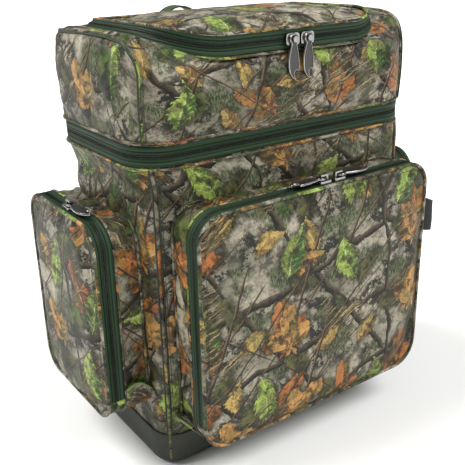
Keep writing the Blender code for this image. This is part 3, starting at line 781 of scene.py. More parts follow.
def outward(row, index):
    """Level outward normal of a closed plan row."""
    count = len(row)
    along = row[(index + 1) % count] - row[(index - 1) % count]
    return Vector((along.y, -along.x, 0)).normalized()


def corner_point(centre_x, centre_y, radius, degrees, height, grow=0.0):
    """A point round a vertical corner."""
    angle = math.radians(degrees)
    reach = radius + grow
    return Vector((centre_x + reach * math.cos(angle), centre_y + reach * math.sin(angle), height))


def from_piping(point, angle, half_width, corner):
    """How far the cloth may puff out beside a corner piping: 0 at its seam, 1 well away."""
    side = -1 if point.x < 0 else 1
    centre = side * (half_width - corner), corner - HALF_DEPTH
    pipe = corner_point(*centre, corner, mirrored(side, angle), point.z)
    return clamp(((pipe - point).length - 0.004) / 0.040)


def corner_piping(piece, low, high, slot=0):
    """Piping up both front corners between two heights, with its seams drawn as dark cords of painted shade on
    both sides of it, and a stitch line beside it.
    """
    steps = 32
    for side in (-1, 1):
        degrees = mirrored(side, BODY_PIPING_ANGLE)
        lines = [[], [], [], []]
        offsets = ((0.0, 0.0006), (-0.0028, 0.0002), (0.0028, 0.0002), (-0.0056 * side, 0.0002))
        for step in range(steps + 1):
            height = low + (high - low) * step / steps
            half_width, corner = body_section(height)
            centre = side * (half_width - corner), corner - HALF_DEPTH
            for line, (beside, grow) in zip(lines, offsets):
                turned_by = degrees + math.degrees(beside / corner)
                line.append(corner_point(*centre, corner, turned_by, height, grow))
        pipe, seam, other_seam_shade, stitched = lines
        piece.trim.tube(pipe, CORNER_PIPING, slot=slot, shift=(side * 0.31, 0.2))
        # The seams: thin dark cords that paint the shade in the seam beside the piping.
        piece.trim.tube(seam, SEAM_SHADE_RADIUS, slot=1)
        piece.trim.tube(other_seam_shade, SEAM_SHADE_RADIUS, slot=1)
        piece.trim.stitches(stitched, [corner_point(0, 0, 1.0, degrees, 0)] * len(stitched), 1)


# Zips: a folded tape on each side of a coil.

TAPE_PROFILE = ((0.0021, 0.0002), (0.0024, 0.0010), (0.0045, 0.0014), (0.0050, 0.0008), (0.0055, 0.0015),
                (0.0080, 0.0017), (0.0098, 0.0015), (0.0106, 0.0006))


def zip_side(piece, edge_row, split_row, flip):
    """One tape, from its sewn edge to the coil, and its half of the coil's teeth."""
    count = len(split_row)
    frames = []
    for i in range(count):
        along = heading(split_row, i)
        away = square_to(edge_row[i] - split_row[i], along)
        out = along.cross(away) if not flip else away.cross(along)
        frames.append((away, out.normalized()))
    width = (edge_row[count // 2] - split_row[count // 2]).length
    rows = []
    for distance, height in TAPE_PROFILE:
        reach = min(distance, width + 0.0002)
        rows.append([spot + away * reach + out * height for spot, (away, out) in zip(split_row, frames)])
    run = lengths(split_row)
    piece.grid(rows)
    for index in range(len(piece.faces)):
        j, i = divmod(index, count - 1)
        low, high = TAPE_PROFILE[j][0], TAPE_PROFILE[j + 1][0]
        piece.uvs[index] = [(run[i], low), (run[i + 1], low), (run[i + 1], high), (run[i], high)]
    piece.grid([[spot + away * distance + out * 0.0002 for spot, (away, out) in zip(split_row, frames)]
                for distance in (0.0001, 0.0024)], slot=1)
    if not flip:
        piece.turn_over(0)
    teeth = int(run[-1] / TOOTH_PITCH)
    aways, outs = (resampled([Vector(frame[k]) for frame in frames], teeth) for k in (0, 1))
    for centre, away, out in zip(resampled(split_row, teeth), aways, outs):
        away.normalize()
        out.normalize()
        piece.block(centre + away * 0.0012 + out * 0.0003, away, out, TOOTH, 1)


def add_zip_half(name, edge_row, split_row, flip, body, node):
    piece = Piece(name, [TAPE_CLOTH, COIL])
    zip_side(piece, edge_row, split_row, flip)
    place(piece, body, "tape", [node])


def high_side(points, count):
    """The part of a rounded rectangle from its low right side over its high side to its low left side."""
    half = 2 * (ARC_STEPS + 1)
    return resampled(points[half - 1:] + [points[0]], count)


def front_side(points, count):
    """The part of a plan outline from its back left end round the front to its back right end."""
    half = 2 * (ARC_STEPS + 1)
    return resampled([points[-1]] + points[:half + 1], count)


# Base and main compartment.

def build_base():
    """The moulded base: a shallow tray with rounded low edges."""
    piece = Piece("moulded_base", [BASE, THREAD_AND_SEAM_SHADE, CAMO])
    rows = []
    count = 150
    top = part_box("base_tray")[1][2]
    fillet = 0.012
    grow = 0.0019
    for step in range(7):
        angle = math.radians(15 * step)
        inset = fillet * (1 - math.sin(angle))
        rows.append(body_row(fillet * (1 - math.cos(angle)), count, grow - inset))
    for height in (0.020, 0.028, 0.036, top - 0.002):
        rows.append(body_row(height, count, grow))
    rows.append(body_row(top - 0.0005, count, grow - 0.0003))
    rows.append(body_row(top, count, grow - 0.0012))
    rows.append(body_row(top - 0.002, count, grow - 0.0018))
    rows.append(body_row(0.016, count, grow - 0.0018))
    piece.grid(rows, closed=True, shift=(0.0, 0.03))
    piece.cap(rows[0], 0, lambda p: (p.x, p.y), flip=True)
    corner_piping(piece, 0.010, top, slot=2)
    place(piece, "pack", "base", ["base_tray"])


def build_body():
    """The main compartment, which flares out to the belt."""
    piece = Piece("body_cloth", [CAMO, THREAD_AND_SEAM_SHADE, LINING])
    count = 168
    top = SPLIT_Z - GAP
    tape_low = top - TAPE
    heights = [0.0160] + [0.0260 + (tape_low - 0.0260) * i / 40 for i in range(41)] + [top]

    def free(i, j):
        height = heights[i]
        if height < 0.05 or height > tape_low - 0.004:
            return 0.0
        point = rows[i][j]
        if point.y > 0.098:
            return 0.15
        ends = min(clamp((height - 0.05) / 0.03), clamp((tape_low - 0.004 - height) / 0.03))
        return ends * from_piping(point, BODY_PIPING_ANGLE, HALF_WIDTH, BODY_CORNER)

    rows = [body_row(height, count) for height in heights]
    piece.grid(rows, closed=True, free=free, shift=(0.0, heights[0]))
    low = [Vector((p.x, p.y, 0.0030)) for p in body_row(0.0030, count, -0.0065)]
    piece.grid([low, rows[0]], closed=True, slot=0)
    piece.cap(low, 0, lambda p: (p.x, p.y), flip=True)
    corner_piping(piece, 0.040, tape_low - 0.002)
    ring = body_row(tape_low - 0.0030, 150, 0.0009)
    piece.trim.tube(ring, PIPING, closed=True, shift=(0.1, 0.5))
    place(piece, "pack", "camo", ["main_shell"], thickness=0.0030, inner=2, pressure=3.0, cap=0.0045)


def build_belt_zip():
    flat = outline((-BELT_HALF_WIDTH, BELT_HALF_WIDTH, -HALF_DEPTH, HALF_DEPTH), BELT_CORNER, BODY_CORNER)
    path = front_side(flat, 200)
    for name, side, body in (("lower", -1, "pack"), ("upper", 1, "top_section")):
        edge, split = ([Vector((p.x, p.y, SPLIT_Z + side * rise)) for p in path]
                       for rise in (GAP + TAPE, GAP / 2))
        add_zip_half("belt_zip_" + name, edge, split, side < 0, body, "belt_zip_" + name + "_tape")


# Upper box and lid.

def lid_frame(inset_by, share, drop, count):
    """A row round the lid's zip, from the band's outer edge at share 0 to its inner edge at 1."""
    half = LID_HALF_WIDTH - inset_by
    flat = outline((-half, half, -HALF_DEPTH, LID_BACK), LID_CORNER - inset_by, 0.012)
    row = []
    for index, p in enumerate(flat):
        if index <= ARC_STEPS:
            turn = index / ARC_STEPS
        elif index <= 2 * ARC_STEPS + 1:
            turn = 1 - (index - ARC_STEPS - 1) / ARC_STEPS
        else:
            turn = 0.0
        turn = ease(turn)
        back = ease((p.y - LID_BACK + 0.030) / 0.030)
        low = 0.4900 + 0.0005 * back - 0.0195 * turn
        rise = (0.0090 + 0.0100 * turn) * (1 - 0.45 * back)
        row.append(Vector((p.x, p.y, low + rise * share - drop)))
    return resampled(row, count, closed=True) if count else row


def top_edge(point):
    """Height of the upper box's shoulder over a plan point."""
    low, high = 0.4665, 0.4885
    front = ease((-point.y - 0.068) / 0.028)
    if abs(point.x) > 0.10:
        high += 0.0045 * math.exp(-((point.y + 0.01) / 0.06) ** 2)
    return high + (low - high) * front


# The upper box's piping over its shoulder, from the front corner to the back.
SHOULDER_KNOTS = ((0.1845, -0.0745, 0.4835), (0.1868, -0.058, 0.4910), (0.1880, -0.030, 0.4932),
                  (0.1885, 0.020, 0.4925), (0.1880, 0.060, 0.4905), (0.1860, 0.082, 0.4890))


def build_upper():
    """The upper box, from the belt over its shoulder to the lid's opening."""
    piece = Piece("upper_cloth", [CAMO, THREAD_AND_SEAM_SHADE, LINING])
    count = 168
    low = SPLIT_Z + GAP
    base = plan(BELT_HALF_WIDTH, HALF_DEPTH, BELT_CORNER, BODY_CORNER, 0.0, count)
    rows = [[Vector((p.x, p.y, low)) for p in base], [Vector((p.x, p.y, low + TAPE)) for p in base]]
    steps = 14
    for i in range(1, steps + 1):
        share = i / steps
        row = []
        for j, p in enumerate(base):
            high = top_edge(p) - 0.006
            bulge = math.sin(math.pi * share) * 0.0022
            out = outward(base, j)
            row.append(Vector((p.x, p.y, low + TAPE + (high - low - TAPE) * share)) + out * bulge)
        rows.append(row)
    lid = lid_frame(0.0, 0.0, 0.0, count)
    rims = len(rows)
    for inward, drop in ((0.0010, 0.0025), (0.0045, 0.0003)):
        rows.append([Vector((p.x, p.y, top_edge(p) - drop)) - outward(base, j) * inward
                     for j, p in enumerate(base)])
    last = rows[-1]
    for share in (0.25, 0.5, 0.75, 1.0):
        row = []
        for a, b in zip(last, lid):
            point = a.lerp(b, share)
            point.z += 0.0015 * math.sin(math.pi * share)
            row.append(point)
        rows.append(row)
    rows.append(lid_frame(LID_BAND / 2, 0.5, GAP, count))

    def free(i, j):
        if i < 2 or i > len(rows) - 3 or i in (rims, rims + 1):
            return 0.0
        if rows[i][j].y > 0.095:
            return 0.3
        return from_piping(rows[i][j], TOP_PIPING_ANGLE, BELT_HALF_WIDTH, BELT_CORNER)

    piece.grid(rows, closed=True, free=free, shift=(0.23, 0.52))
    floor = [Vector((p.x, p.y, low)) for p in base]
    piece.cap(floor, 2, lambda p: (p.x, p.y), flip=True)

    for side in (-1, 1):
        foot, knee = (
            corner_point(side * (BELT_HALF_WIDTH - BELT_CORNER), -HALF_DEPTH + BELT_CORNER, BELT_CORNER,
                         mirrored(side, TOP_PIPING_ANGLE), height, grow)
            for height, grow in ((0.391, 0.0006), (0.464, 0.0010)))
        knots = [foot, foot.lerp(knee, 0.5) + Vector((side * 0.0012, -0.0010, 0)), knee]
        path = smooth_path(knots + [Vector((side * x, y, z)) for x, y, z in SHOULDER_KNOTS], 60)
        piece.trim.tube(path, CORNER_PIPING, shift=(side * 0.4, 0.1))
        inner = [p + Vector((-side * 0.0030, -0.0030, -0.0004)) for p in path[:26]]
        normals = [Vector((side * 0.6, -0.8, 0)) for _ in inner]
        piece.trim.stitches(inner, normals, 1)
        # Thin dark cords on both sides of the piping: painted shade in its seams.
        for turn in (-1, 1):
            shaded_seam_path = [p + Vector((turn * 0.0021, turn * side * -0.0019, -0.0010)) for p in path]
            piece.trim.tube(shaded_seam_path, SEAM_SHADE_RADIUS, slot=1)
    proud = 0.0009
    belt = plan(BELT_HALF_WIDTH + proud, HALF_DEPTH + proud, BELT_CORNER, BODY_CORNER, low + TAPE + 0.003, 150)
    piece.trim.tube(belt, PIPING, closed=True, shift=(0.5, 0.3))
    rim = [p + Vector((0, 0, 0.0006)) for p in lid_frame(-0.0022, -0.18, 0.0, 170)]
    piece.trim.tube(rim, 0.0017, closed=True, shift=(0.7, 0.3))
    place(piece, "top_section", "camo", ["upper_shell"], thickness=0.0022, inner=2, pressure=3.0, cap=0.0045)


def build_lid():
    """The lid's panel, domed towards its middle."""
    piece = Piece("lid_cloth", [CAMO, THREAD_AND_SEAM_SHADE, LINING])
    count = 150
    rim = lid_frame(LID_BAND / 2, 0.5, -GAP, count)
    inner = lid_frame(LID_BAND, 1.0, 0.0, count)
    for row in (rim, inner):
        for p in row:
            p.y = min(p.y, LID_BACK - 0.001)
    rows = [rim, inner]
    centre = Vector((0, -0.006, 0))
    for step in range(1, 13):
        share = step / 12
        reach = 1 - share
        rows.append([Vector((p.x * reach + centre.x * share, p.y * reach + centre.y * share,
                             p.z + (0.4995 - p.z) * ease(share * 2.6) + 0.0010 * math.sin(share * math.pi / 2)))
                     for p in inner])
    rows[-1] = [Vector((centre.x, centre.y, rows[-1][0].z)) + (p - centre).normalized() * 0.0005 for p in inner]
    for p in rows[-1]:
        p.z = 0.5008
    last = len(rows) - 1
    piece.grid(rows, closed=True, uv=lambda p: (p.x + 0.61, p.y + 0.87),
               free=lambda i, j: 0.0 if i < 3 or i == last else 1.0)
    piece.cap(rows[-1], 0, lambda p: (p.x + 0.61, p.y + 0.87))
    piping = [p + Vector((0, 0, 0.0009)) for p in lid_frame(LID_BAND + 0.0012, 1.05, 0.0, 160)]
    for p in piping:
        p.y = min(p.y, LID_BACK - 0.003)
    piece.trim.tube(piping, PIPING, closed=True, shift=(0.9, 0.6))
    seam = [p + Vector((0, 0, 0.0016)) for p in lid_frame(LID_BAND + 0.0062, 1.22, 0.0, 160)]
    seam = [p for p in seam if p.y < LID_BACK - 0.012]
    start = max(range(len(seam)), key=lambda k: (seam[k] - seam[k - 1]).length)
    seam = seam[start:] + seam[:start]
    piece.trim.stitches(seam, [Vector((0, 0, 1))] * len(seam), 1)
    place(piece, "lid", "camo", ["lid_panel"], thickness=0.0022, inner=2, pressure=2.5, cap=0.0030)


def build_lid_zip():
    outer, split, inner = (
        front_side(lid_frame(inset_by, share, drop, 0), 190)
        for inset_by, share, drop in ((0.0, 0.0, 0.0), (LID_BAND / 2, 0.5, GAP / 2), (LID_BAND, 1.0, 0.0)))
    add_zip_half("lid_zip_rim", outer, split, True, "top_section", "lid_zip_rim_tape")
    raised = [p + Vector((0, 0, GAP)) for p in split]
    add_zip_half("lid_zip_edge", inner, raised, False, "lid", "lid_zip_lid_tape")


# Pockets.

class Wall:
    """A place on the body with one axis across it and one out of it."""

    def __init__(self, origin, across, out):
        self.origin = Vector(origin)
        self.across = Vector(across)
        self.out = Vector(out)

    def point(self, u, v, depth):
        return self.origin + self.across * u + Vector((0, 0, v)) + self.out * depth

    def row(self, flat, depth):
        return [self.point(p.x, p.y, depth) for p in flat]


def face_rows(box, low_radius, high_radius, columns, count):
    """A grid over a rounded rectangle. Its rows shorten where the corners round off."""
    left, right, low, high = box
    rows = []
    for i in range(count + 1):
        v = low + (high - low) * ease_ends(i / count)
        cut = 0.0
        if v < low + low_radius:
            cut = low_radius - math.sqrt(max(low_radius ** 2 - (low + low_radius - v) ** 2, 0.0))
        if v > high - high_radius:
            cut = high_radius - math.sqrt(max(high_radius ** 2 - (v - high + high_radius) ** 2, 0.0))
        width = right - left - 2 * cut
        rows.append([Vector((left + cut + width * j / columns, v)) for j in range(columns + 1)])
    return rows


def ease_ends(share):
    """Moves evenly spaced numbers closer to both ends."""
    return 0.5 - 0.5 * math.cos(math.pi * share) * (0.65 + 0.35 * math.cos(math.pi * share) ** 2)


def margin_ring(box, margin, radii, count, keep_radii=False):
    """Evenly spaced points round a pocket's outline, drawn in by a margin."""
    low_radius, high_radius = radii if keep_radii else (radii[0] - margin, radii[1] - margin)
    return resampled(outline(inset(box, margin), low_radius, high_radius), count, closed=True)


def build_pocket(name, wall, box, radii, depth, split, shift):
    """Gusset, zip and padded flap of one pocket."""
    low_radius, high_radius = radii
    flat = outline(box, low_radius, high_radius)
    count = 150
    ring = resampled(flat, count, closed=True)
    flare = margin_ring(box, 0.004, radii, count)
    tape_edge = split - GAP - TAPE
    depths = [tape_edge * i / 7 for i in range(8)]
    rows = []
    for i, d in enumerate(depths):
        share = i / 7
        rows.append(wall.row([a.lerp(b, share) for a, b in zip(flare, ring)], max(d, GAP)))
    rows.append(wall.row(ring, split - GAP))
    gusset = Piece(name + "_gusset", [CAMO, THREAD_AND_SEAM_SHADE, LINING])
    gusset.grid(rows, closed=True, shift=shift, free=lambda i, j: 1.0 if 1 <= i <= 5 else 0.0)
    rear = wall.row(margin_ring(box, 0.0025, radii, count), 0.0018)
    gusset.trim.tube(rear, PIPING, closed=True, shift=(shift[0] + 0.2, 0.4))
    hem = wall.row(margin_ring(box, -0.0006, radii, count, keep_radii=True), tape_edge - 0.0016)
    gusset.trim.tube(hem, 0.0016, closed=True, shift=(shift[0] + 0.1, 0.3))
    place(gusset, "pack", "camo", [name + "_pocket_gusset"],
          thickness=0.0022, inner=2, pressure=2.5, cap=0.0030)

    build_wings(name, wall, box, low_radius, tape_edge, shift)

    path = high_side(flat, 210)
    add_zip_half(name + "_zip_back", wall.row(path, tape_edge), wall.row(path, split - GAP / 2), True,
                 "pack", name + "_zip_pocket_tape")

    flap = Piece(name + "_flap_cloth", [CAMO, THREAD_AND_SEAM_SHADE, LINING])
    band = wall.row(ring, split + GAP)
    lip = wall.row(ring, depth - 0.0020)
    flap.grid([band, lip], closed=True, shift=(shift[0] + 0.3, shift[1]))
    columns, lines = (56, 48) if box[1] - box[0] > 0.25 else (32, 42)
    margin = 0.0012
    inner_box = inset(box, margin)
    face = face_rows(inner_box, low_radius - margin, high_radius - margin, columns, lines)
    rows = []
    for i, row in enumerate(face):
        line = []
        for j, p in enumerate(row):
            edge = min(j, columns - j) * (row[-1].x - row[0].x) / columns
            edge = min(edge, p.y - inner_box[2], inner_box[3] - p.y)
            crown = 0.0030 * ease(edge / 0.03)
            line.append(wall.point(p.x, p.y, depth - 0.0020 + 0.0012 * ease(edge / 0.004) + crown))
        rows.append(line)

    def free(i, j):
        edge = min(i, lines - i, j, columns - j)
        return 0.0 if edge < 2 else 1.0

    flap.grid(rows, uv=lambda p: (wall.across.dot(p) + shift[0], p.z + shift[1]), free=free)
    piping = wall.row(margin_ring(box, 0.0004, radii, 200, keep_radii=True), depth - 0.0016)
    flap.trim.tube(piping, FLAP_PIPING, closed=True, shift=(shift[0] + 0.15, 0.7))
    margin = 0.0068
    seam = outline(inset(box, margin), low_radius - margin, high_radius - margin)
    seam = wall.row(seam + seam[:1], depth + 0.0006)
    flap.trim.stitches(seam, [wall.out] * len(seam), 1)
    body = name + "_flap"
    place(flap, body, "camo", [name + "_flap_panel"],
          thickness=0.0020, inner=2, pressure=2.2, cap=0.0030, pad=0.3)

    add_zip_half(name + "_zip_front", wall.row(path, depth - 0.0020), wall.row(path, split + GAP / 2), False,
                 body, name + "_zip_flap_tape")


def build_wings(name, wall, box, radius, depth, shift):
    """A bound web of cloth at each low end of the zip, which holds the opened pocket up."""
    rise = WING_RISE[name]
    piece = Piece(name + "_wings", [CAMO, THREAD_AND_SEAM_SHADE, LINING, HEM])
    for side, edge in ((-1, box[0]), (1, box[1])):
        rows = []
        for i in range(13):
            share = i / 12
            line = []
            for j in range(11):
                deep = j / 10
                arch = rise * (0.55 + 0.45 * math.sin(math.pi * deep * 0.8)) * share
                run = -radius * 0.55 + arch
                if run > 0:
                    along, out = Vector((edge, box[2] + radius + run, 0)), Vector((side, 0, 0))
                else:
                    angle = run / radius
                    out = Vector((side * math.cos(angle), math.sin(angle), 0))
                    along = Vector((edge - side * radius, box[2] + radius, 0)) + out * radius
                bulge = WING_BULGE * share ** 1.5 * (0.35 + 0.65 * math.sin(math.pi * (0.12 + 0.76 * deep)))
                spot = along + out * (0.0012 + bulge)
                line.append(wall.point(spot.x, spot.y, 0.0012 + (depth - 0.0016) * deep))
            rows.append(line)
        piece.trim.tube(rows[-1], HEM_RADIUS, slot=3)
        if side < 0:
            rows = [list(reversed(line)) for line in rows]
        piece.grid(rows, shift=(shift[0] + 0.55 + side * 0.2, shift[1] + 0.3))
    place(piece, "pack", "camo", [], thickness=0.0012)


def build_pockets():
    front = Wall((0, -HALF_DEPTH, 0), (1, 0, 0), (0, -1, 0))
    build_pocket("front", front, FRONT_BOX, (0.032, BOX_CORNER), 0.057, 0.0465, (0.05, 0.11))
    low, high = SIDE_BOX[2:]
    for name, side, ends, shift in (
        ("left", -1, (-SIDE_BOX[1], -SIDE_BOX[0]), (1.33, 0.42)),
        ("right", 1, SIDE_BOX[:2], (2.71, 0.77)),
    ):
        wall = Wall((side * HALF_WIDTH, 0, 0), (0, side, 0), (side, 0, 0))
        build_pocket(name, wall, (*ends, low, high), (0.028, BOX_CORNER), 0.054, 0.0435, shift)


# Hardware.

PULLER_EDGE = ((4.9, -3.5), (10.0, -5.4), (18.0, -7.2), (27.0, -7.4), (35.0, -6.0), (40.5, -2.6), (43.4, 1.4),
               (42.2, 3.0), (39.6, 1.2), (36.8, 0.4), (34.0, 1.4), (33.0, 4.0), (34.0, 6.9), (28.0, 7.2),
               (18.0, 6.4), (10.0, 4.8), (4.9, 3.5))


def build_puller(name, body, hinge, along, out, eye_x):
    """A crescent puller: a bright rim round a dark face, with a round eye."""
    along = Vector(along)
    out = Vector(out)
    across = out.cross(along)
    matrix = Matrix.Translation(hinge) @ Matrix((along, across, out)).transposed().to_4x4()
    mm = 0.001
    eye_radius, eye_start, eye_sweep = 6.0, 35.5, 289.0
    eye = []
    for step in range(19):
        angle = math.radians(eye_start + eye_sweep * step / 18)
        eye.append(Vector((eye_x / mm + eye_radius * math.cos(angle), eye_radius * math.sin(angle))))
    body_edge = [Vector((eye_x / mm + x, y)) for x, y in PULLER_EDGE]
    path = [p * mm for p in smooth_path(body_edge, 61)] + [p * mm for p in eye[1:-1]]
    path = resampled(path, 96, closed=True)
    piece = Piece(name + "_look", [BRIGHT, GUNMETAL])
    half = 0.0012
    count = len(path)
    inner = []
    for i, p in enumerate(path):
        tangent = (path[(i + 1) % count] - path[i - 1]).normalized()
        inner.append(p + Vector((-tangent.y, tangent.x)) * 0.0011)
    levels = ((path, -half * 0.45), (path, half * 0.45), ([a.lerp(b, 0.5) for a, b in zip(path, inner)], half),
              (inner, half), (inner, half * 0.55))
    rows = [[matrix @ Vector((p.x, p.y, h)) for p in flat] for flat, h in levels]
    piece.grid(rows, closed=True)
    lower = [[matrix @ Vector((p.x, p.y, -h)) for p in flat] for flat, h in reversed(levels[1:])]
    piece.grid(lower + [rows[0]], closed=True)
    hole_radius = 0.0024 if eye_x == 0 else 0.0036
    turns = [math.tau * k / 24 for k in range(24)]
    hole = [Vector((eye_x + hole_radius * math.cos(turn), hole_radius * math.sin(turn))) for turn in turns]
    for height, side in ((half * 0.55, 1), (-half * 0.55, -1)):
        fill_with_hole(piece, inner, hole, height, side, matrix)
    walls = [[matrix @ Vector((p.x, p.y, h)) for p in reversed(hole)] for h in (-half * 0.55, half * 0.55)]
    piece.grid(walls, closed=True)
    place(piece, body, "metal", [name])


def fill_with_hole(piece, edge, hole, height, side, matrix):
    """The dark face between a puller's rim and its eye's hole."""
    coords = list(edge) + list(hole)
    count = len(edge)
    edges = [(i, (i + 1) % count) for i in range(count)]
    edges += [(count + i, count + (i + 1) % len(hole)) for i in range(len(hole))]
    verts, _, faces, _, _, _ = delaunay_2d_cdt(coords, edges, [], 1, 1e-6)
    start = len(piece.verts)
    for p in verts:
        piece.verts.append(matrix @ Vector((p.x, p.y, height)))
        piece.loose.append(0.0)
    middle = sum(hole, Vector((0, 0))) / len(hole)
    radius = (hole[0] - middle).length
    for corners in faces:
        centre = sum((verts[c] for c in corners), Vector((0, 0))) / len(corners)
        if (centre - middle).length < radius or not inside(centre, edge):
            continue
        order = list(corners)
        a, b, c = (verts[k] for k in order[:3])
        if (b - a).cross(c - a) * side < 0:
            order.reverse()
        piece.face(tuple(start + k for k in order), [(0, 0)] * len(order), 1)


def inside(point, polygon):
    """Whether a flat point lies inside a closed outline."""
    hit = False
    for a, b in zip(polygon, polygon[1:] + polygon[:1]):
        if (a.y > point.y) != (b.y > point.y):
            if point.x < a.x + (point.y - a.y) * (b.x - a.x) / (b.y - a.y):
                hit = not hit
    return hit


DOWN = (0, 0, -1)
RIM_EYE = 0.0048

# Name, the way it points, the way its face looks, and how far its eye is from the hinge.
PULLERS = (
    ("lid_left", DOWN, (0, -1, 0), 0.0), ("lid_right", DOWN, (0, -1, 0), 0.0),
    ("belt_front", DOWN, (1, 0, 0), 0.0), ("belt_back", DOWN, (1, 0, 0), 0.0),
    ("front_left", (-1, 0, 0), (0, 0, 1), RIM_EYE), ("front_right", (1, 0, 0), (0, 0, 1), RIM_EYE),
    ("left", (0, -1, 0), (0, 0, 1), RIM_EYE), ("right", DOWN, (0, -1, 0), RIM_EYE),
)


def build_pullers():
    hinges = {joint["child"]: Vector(joint["pos_m"]) for joint in frame["joints"] if joint["type"] == "hinge"}
    for name, along, out, eye_x in PULLERS:
        body = name + "_zip_puller"
        build_puller(name + "_puller", body, hinges[body], along, out, eye_x)
        finish_cad(frame["nodes"][name + "_slider"], BRIGHT, 0.0006)


def finish_cad(obj, material, bevel):
    """Round a CAD piece's edges and give it its finish."""
    for slot in obj.material_slots:
        slot.link = "OBJECT"
        slot.material = material
    if bevel:
        modifier = obj.modifiers.new("Edges", "BEVEL")
        modifier.width = bevel
        modifier.segments = 2
        modifier.limit_method = "ANGLE"
        modifier.angle_limit = math.radians(40)
        modifier.harden_normals = False


# Back, straps, handle and label.

def band(piece, path, sides, width, thickness, slot=0, power=FLAT_EDGE, free=0.0):
    """A flat or padded band along a path. The lower the power, the squarer its cross-section."""
    count = len(path)
    profile = []
    for k in range(BAND_SIDES):
        angle = math.tau * k / BAND_SIDES
        c, s = math.cos(angle), math.sin(angle)
        profile.append((math.copysign(abs(c) ** power, c), math.copysign(abs(s) ** power, s)))
    rows = []
    for i, centre in enumerate(path):
        along = heading(path, i)
        side = square_to(sides[i], along)
        up = along.cross(side).normalized()
        rows.append([centre + side * (a * width / 2) + up * (b * thickness / 2) for a, b in profile])
    start = len(piece.faces)
    across = width / 2
    run = lengths(path)
    piece.grid(rows, closed=True, slot=slot, free=lambda i, j: free if 1 < i < count - 2 else 0.0)
    for index in range(start, len(piece.faces)):
        i, j = divmod(index - start, BAND_SIDES)
        a, b = profile[j][0] * across, profile[(j + 1) % BAND_SIDES][0] * across
        piece.uvs[index] = [(run[i], a), (run[i], b), (run[i + 1], b), (run[i + 1], a)]
    piece.cap(rows[0], slot, lambda p: (p.x, p.y), flip=True)
    piece.cap(rows[-1], slot, lambda p: (p.x, p.y))


def build_back():
    low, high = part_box("back_pad")
    piece = Piece("back_padding", [AIR_MESH, THREAD_AND_SEAM_SHADE, WEBBING])
    wall = Wall((0, HALF_DEPTH, 0), (-1, 0, 0), (0, 1, 0))
    box = (low[0], high[0], low[2], high[2])
    columns, lines = 44, 48
    rows = []
    for row in face_rows(box, BOX_CORNER, BOX_CORNER, columns, lines):
        line = []
        for j, p in enumerate(row):
            edge = min(min(j, columns - j) * (row[-1].x - row[0].x) / columns, p.y - box[2], box[3] - p.y)
            depth = 0.0012 + 0.0125 * ease(edge / 0.012) ** 0.6
            groove = min(abs(abs(p.x) - 0.040), abs(p.y - 0.150), abs(p.y - 0.270))
            depth -= 0.0062 * math.exp(-(groove / 0.0042) ** 2) * ease(edge / 0.02)
            line.append(wall.point(p.x, p.y, depth))
        rows.append(line)
    piece.grid(rows, uv=lambda p: (p.x, p.z),
               free=lambda i, j: 1.0 if 3 < i < lines - 3 and 3 < j < columns - 3 else 0.0)
    flat = outline(box, BOX_CORNER, BOX_CORNER)
    rim = wall.row(resampled(flat, 180, closed=True), 0.0022)
    piece.trim.tube(rim, FLAP_PIPING, closed=True, slot=2)
    rear = wall.row(resampled(flat, 180, closed=True), 0.0004)
    piece.cap(rear, 0, lambda p: (p.x, p.z), flip=True)
    place(piece, "pack", "mesh", ["back_pad"], pressure=1.2, cap=0.0018, pad=0.8)


# A strap's centre line, as in the CAD.
STRAP_KNOTS = (
    (0.058, 0.1075, 0.3555), (0.060, 0.126, 0.3600), (0.064, 0.145, 0.3430), (0.070, STRAP_OUTER, 0.3150),
    (0.080, STRAP_OUTER, 0.2700), (0.091, STRAP_OUTER, 0.2250), (0.100, 0.147, 0.1850), (0.106, 0.137, 0.1560),
)


def build_straps():
    """Padded straps with an air mesh inside, a camouflage face outside and bound edges."""
    for side, name in ((-1, "left"), (1, "right")):
        path = smooth_path([Vector((side * x, y, z)) for x, y, z in STRAP_KNOTS], 56)
        for p in path:
            p.y = min(p.y, STRAP_OUTER)
        sides = [Vector((1, 0, 0.10 * side * i / len(path))) for i in range(len(path))]
        piece = Piece(name + "_strap_padding", [AIR_MESH, THREAD_AND_SEAM_SHADE, WEBBING, CAMO])
        band(piece, path, sides, 0.060, 0.0112, power=SOFT_EDGE, free=1.0)
        for index, corners in enumerate(piece.faces):
            if len(corners) == 4 and index % BAND_SIDES >= BAND_SIDES // 2:
                piece.slots[index] = 3
        for edge in (-1, 1):
            binding = []
            seams = {1: [], -1: []}
            normals = {1: [], -1: []}
            for i, p in enumerate(path):
                along = heading(path, i)
                across = square_to(sides[i], along)
                up = along.cross(across)
                binding.append(p + across * (edge * 0.0296))
                for face in (1, -1):
                    seams[face].append(p + across * (edge * 0.0235) + up * (face * 0.0060))
                    normals[face].append(up * face)
            piece.trim.tube(binding, 0.0034, slot=2, sides=10)
            for face in (1, -1):
                piece.trim.stitches(seams[face], normals[face], 1)
        outer = [path[i] - heading(path, i).cross(Vector((1, 0, 0))).normalized() * 0.0074
                 for i in range(4, len(path))]
        band(piece.trim, outer, sides[4:], 0.022, 0.0026, slot=2)
        place(piece, "pack", "mesh", [name + "_shoulder_strap"], pressure=1.0, cap=0.0012, pad=0.7)
        build_webbing(side, name, path)
        finish_cad(frame["nodes"][name + "_ladder_lock"], NYLON, 0.0005)


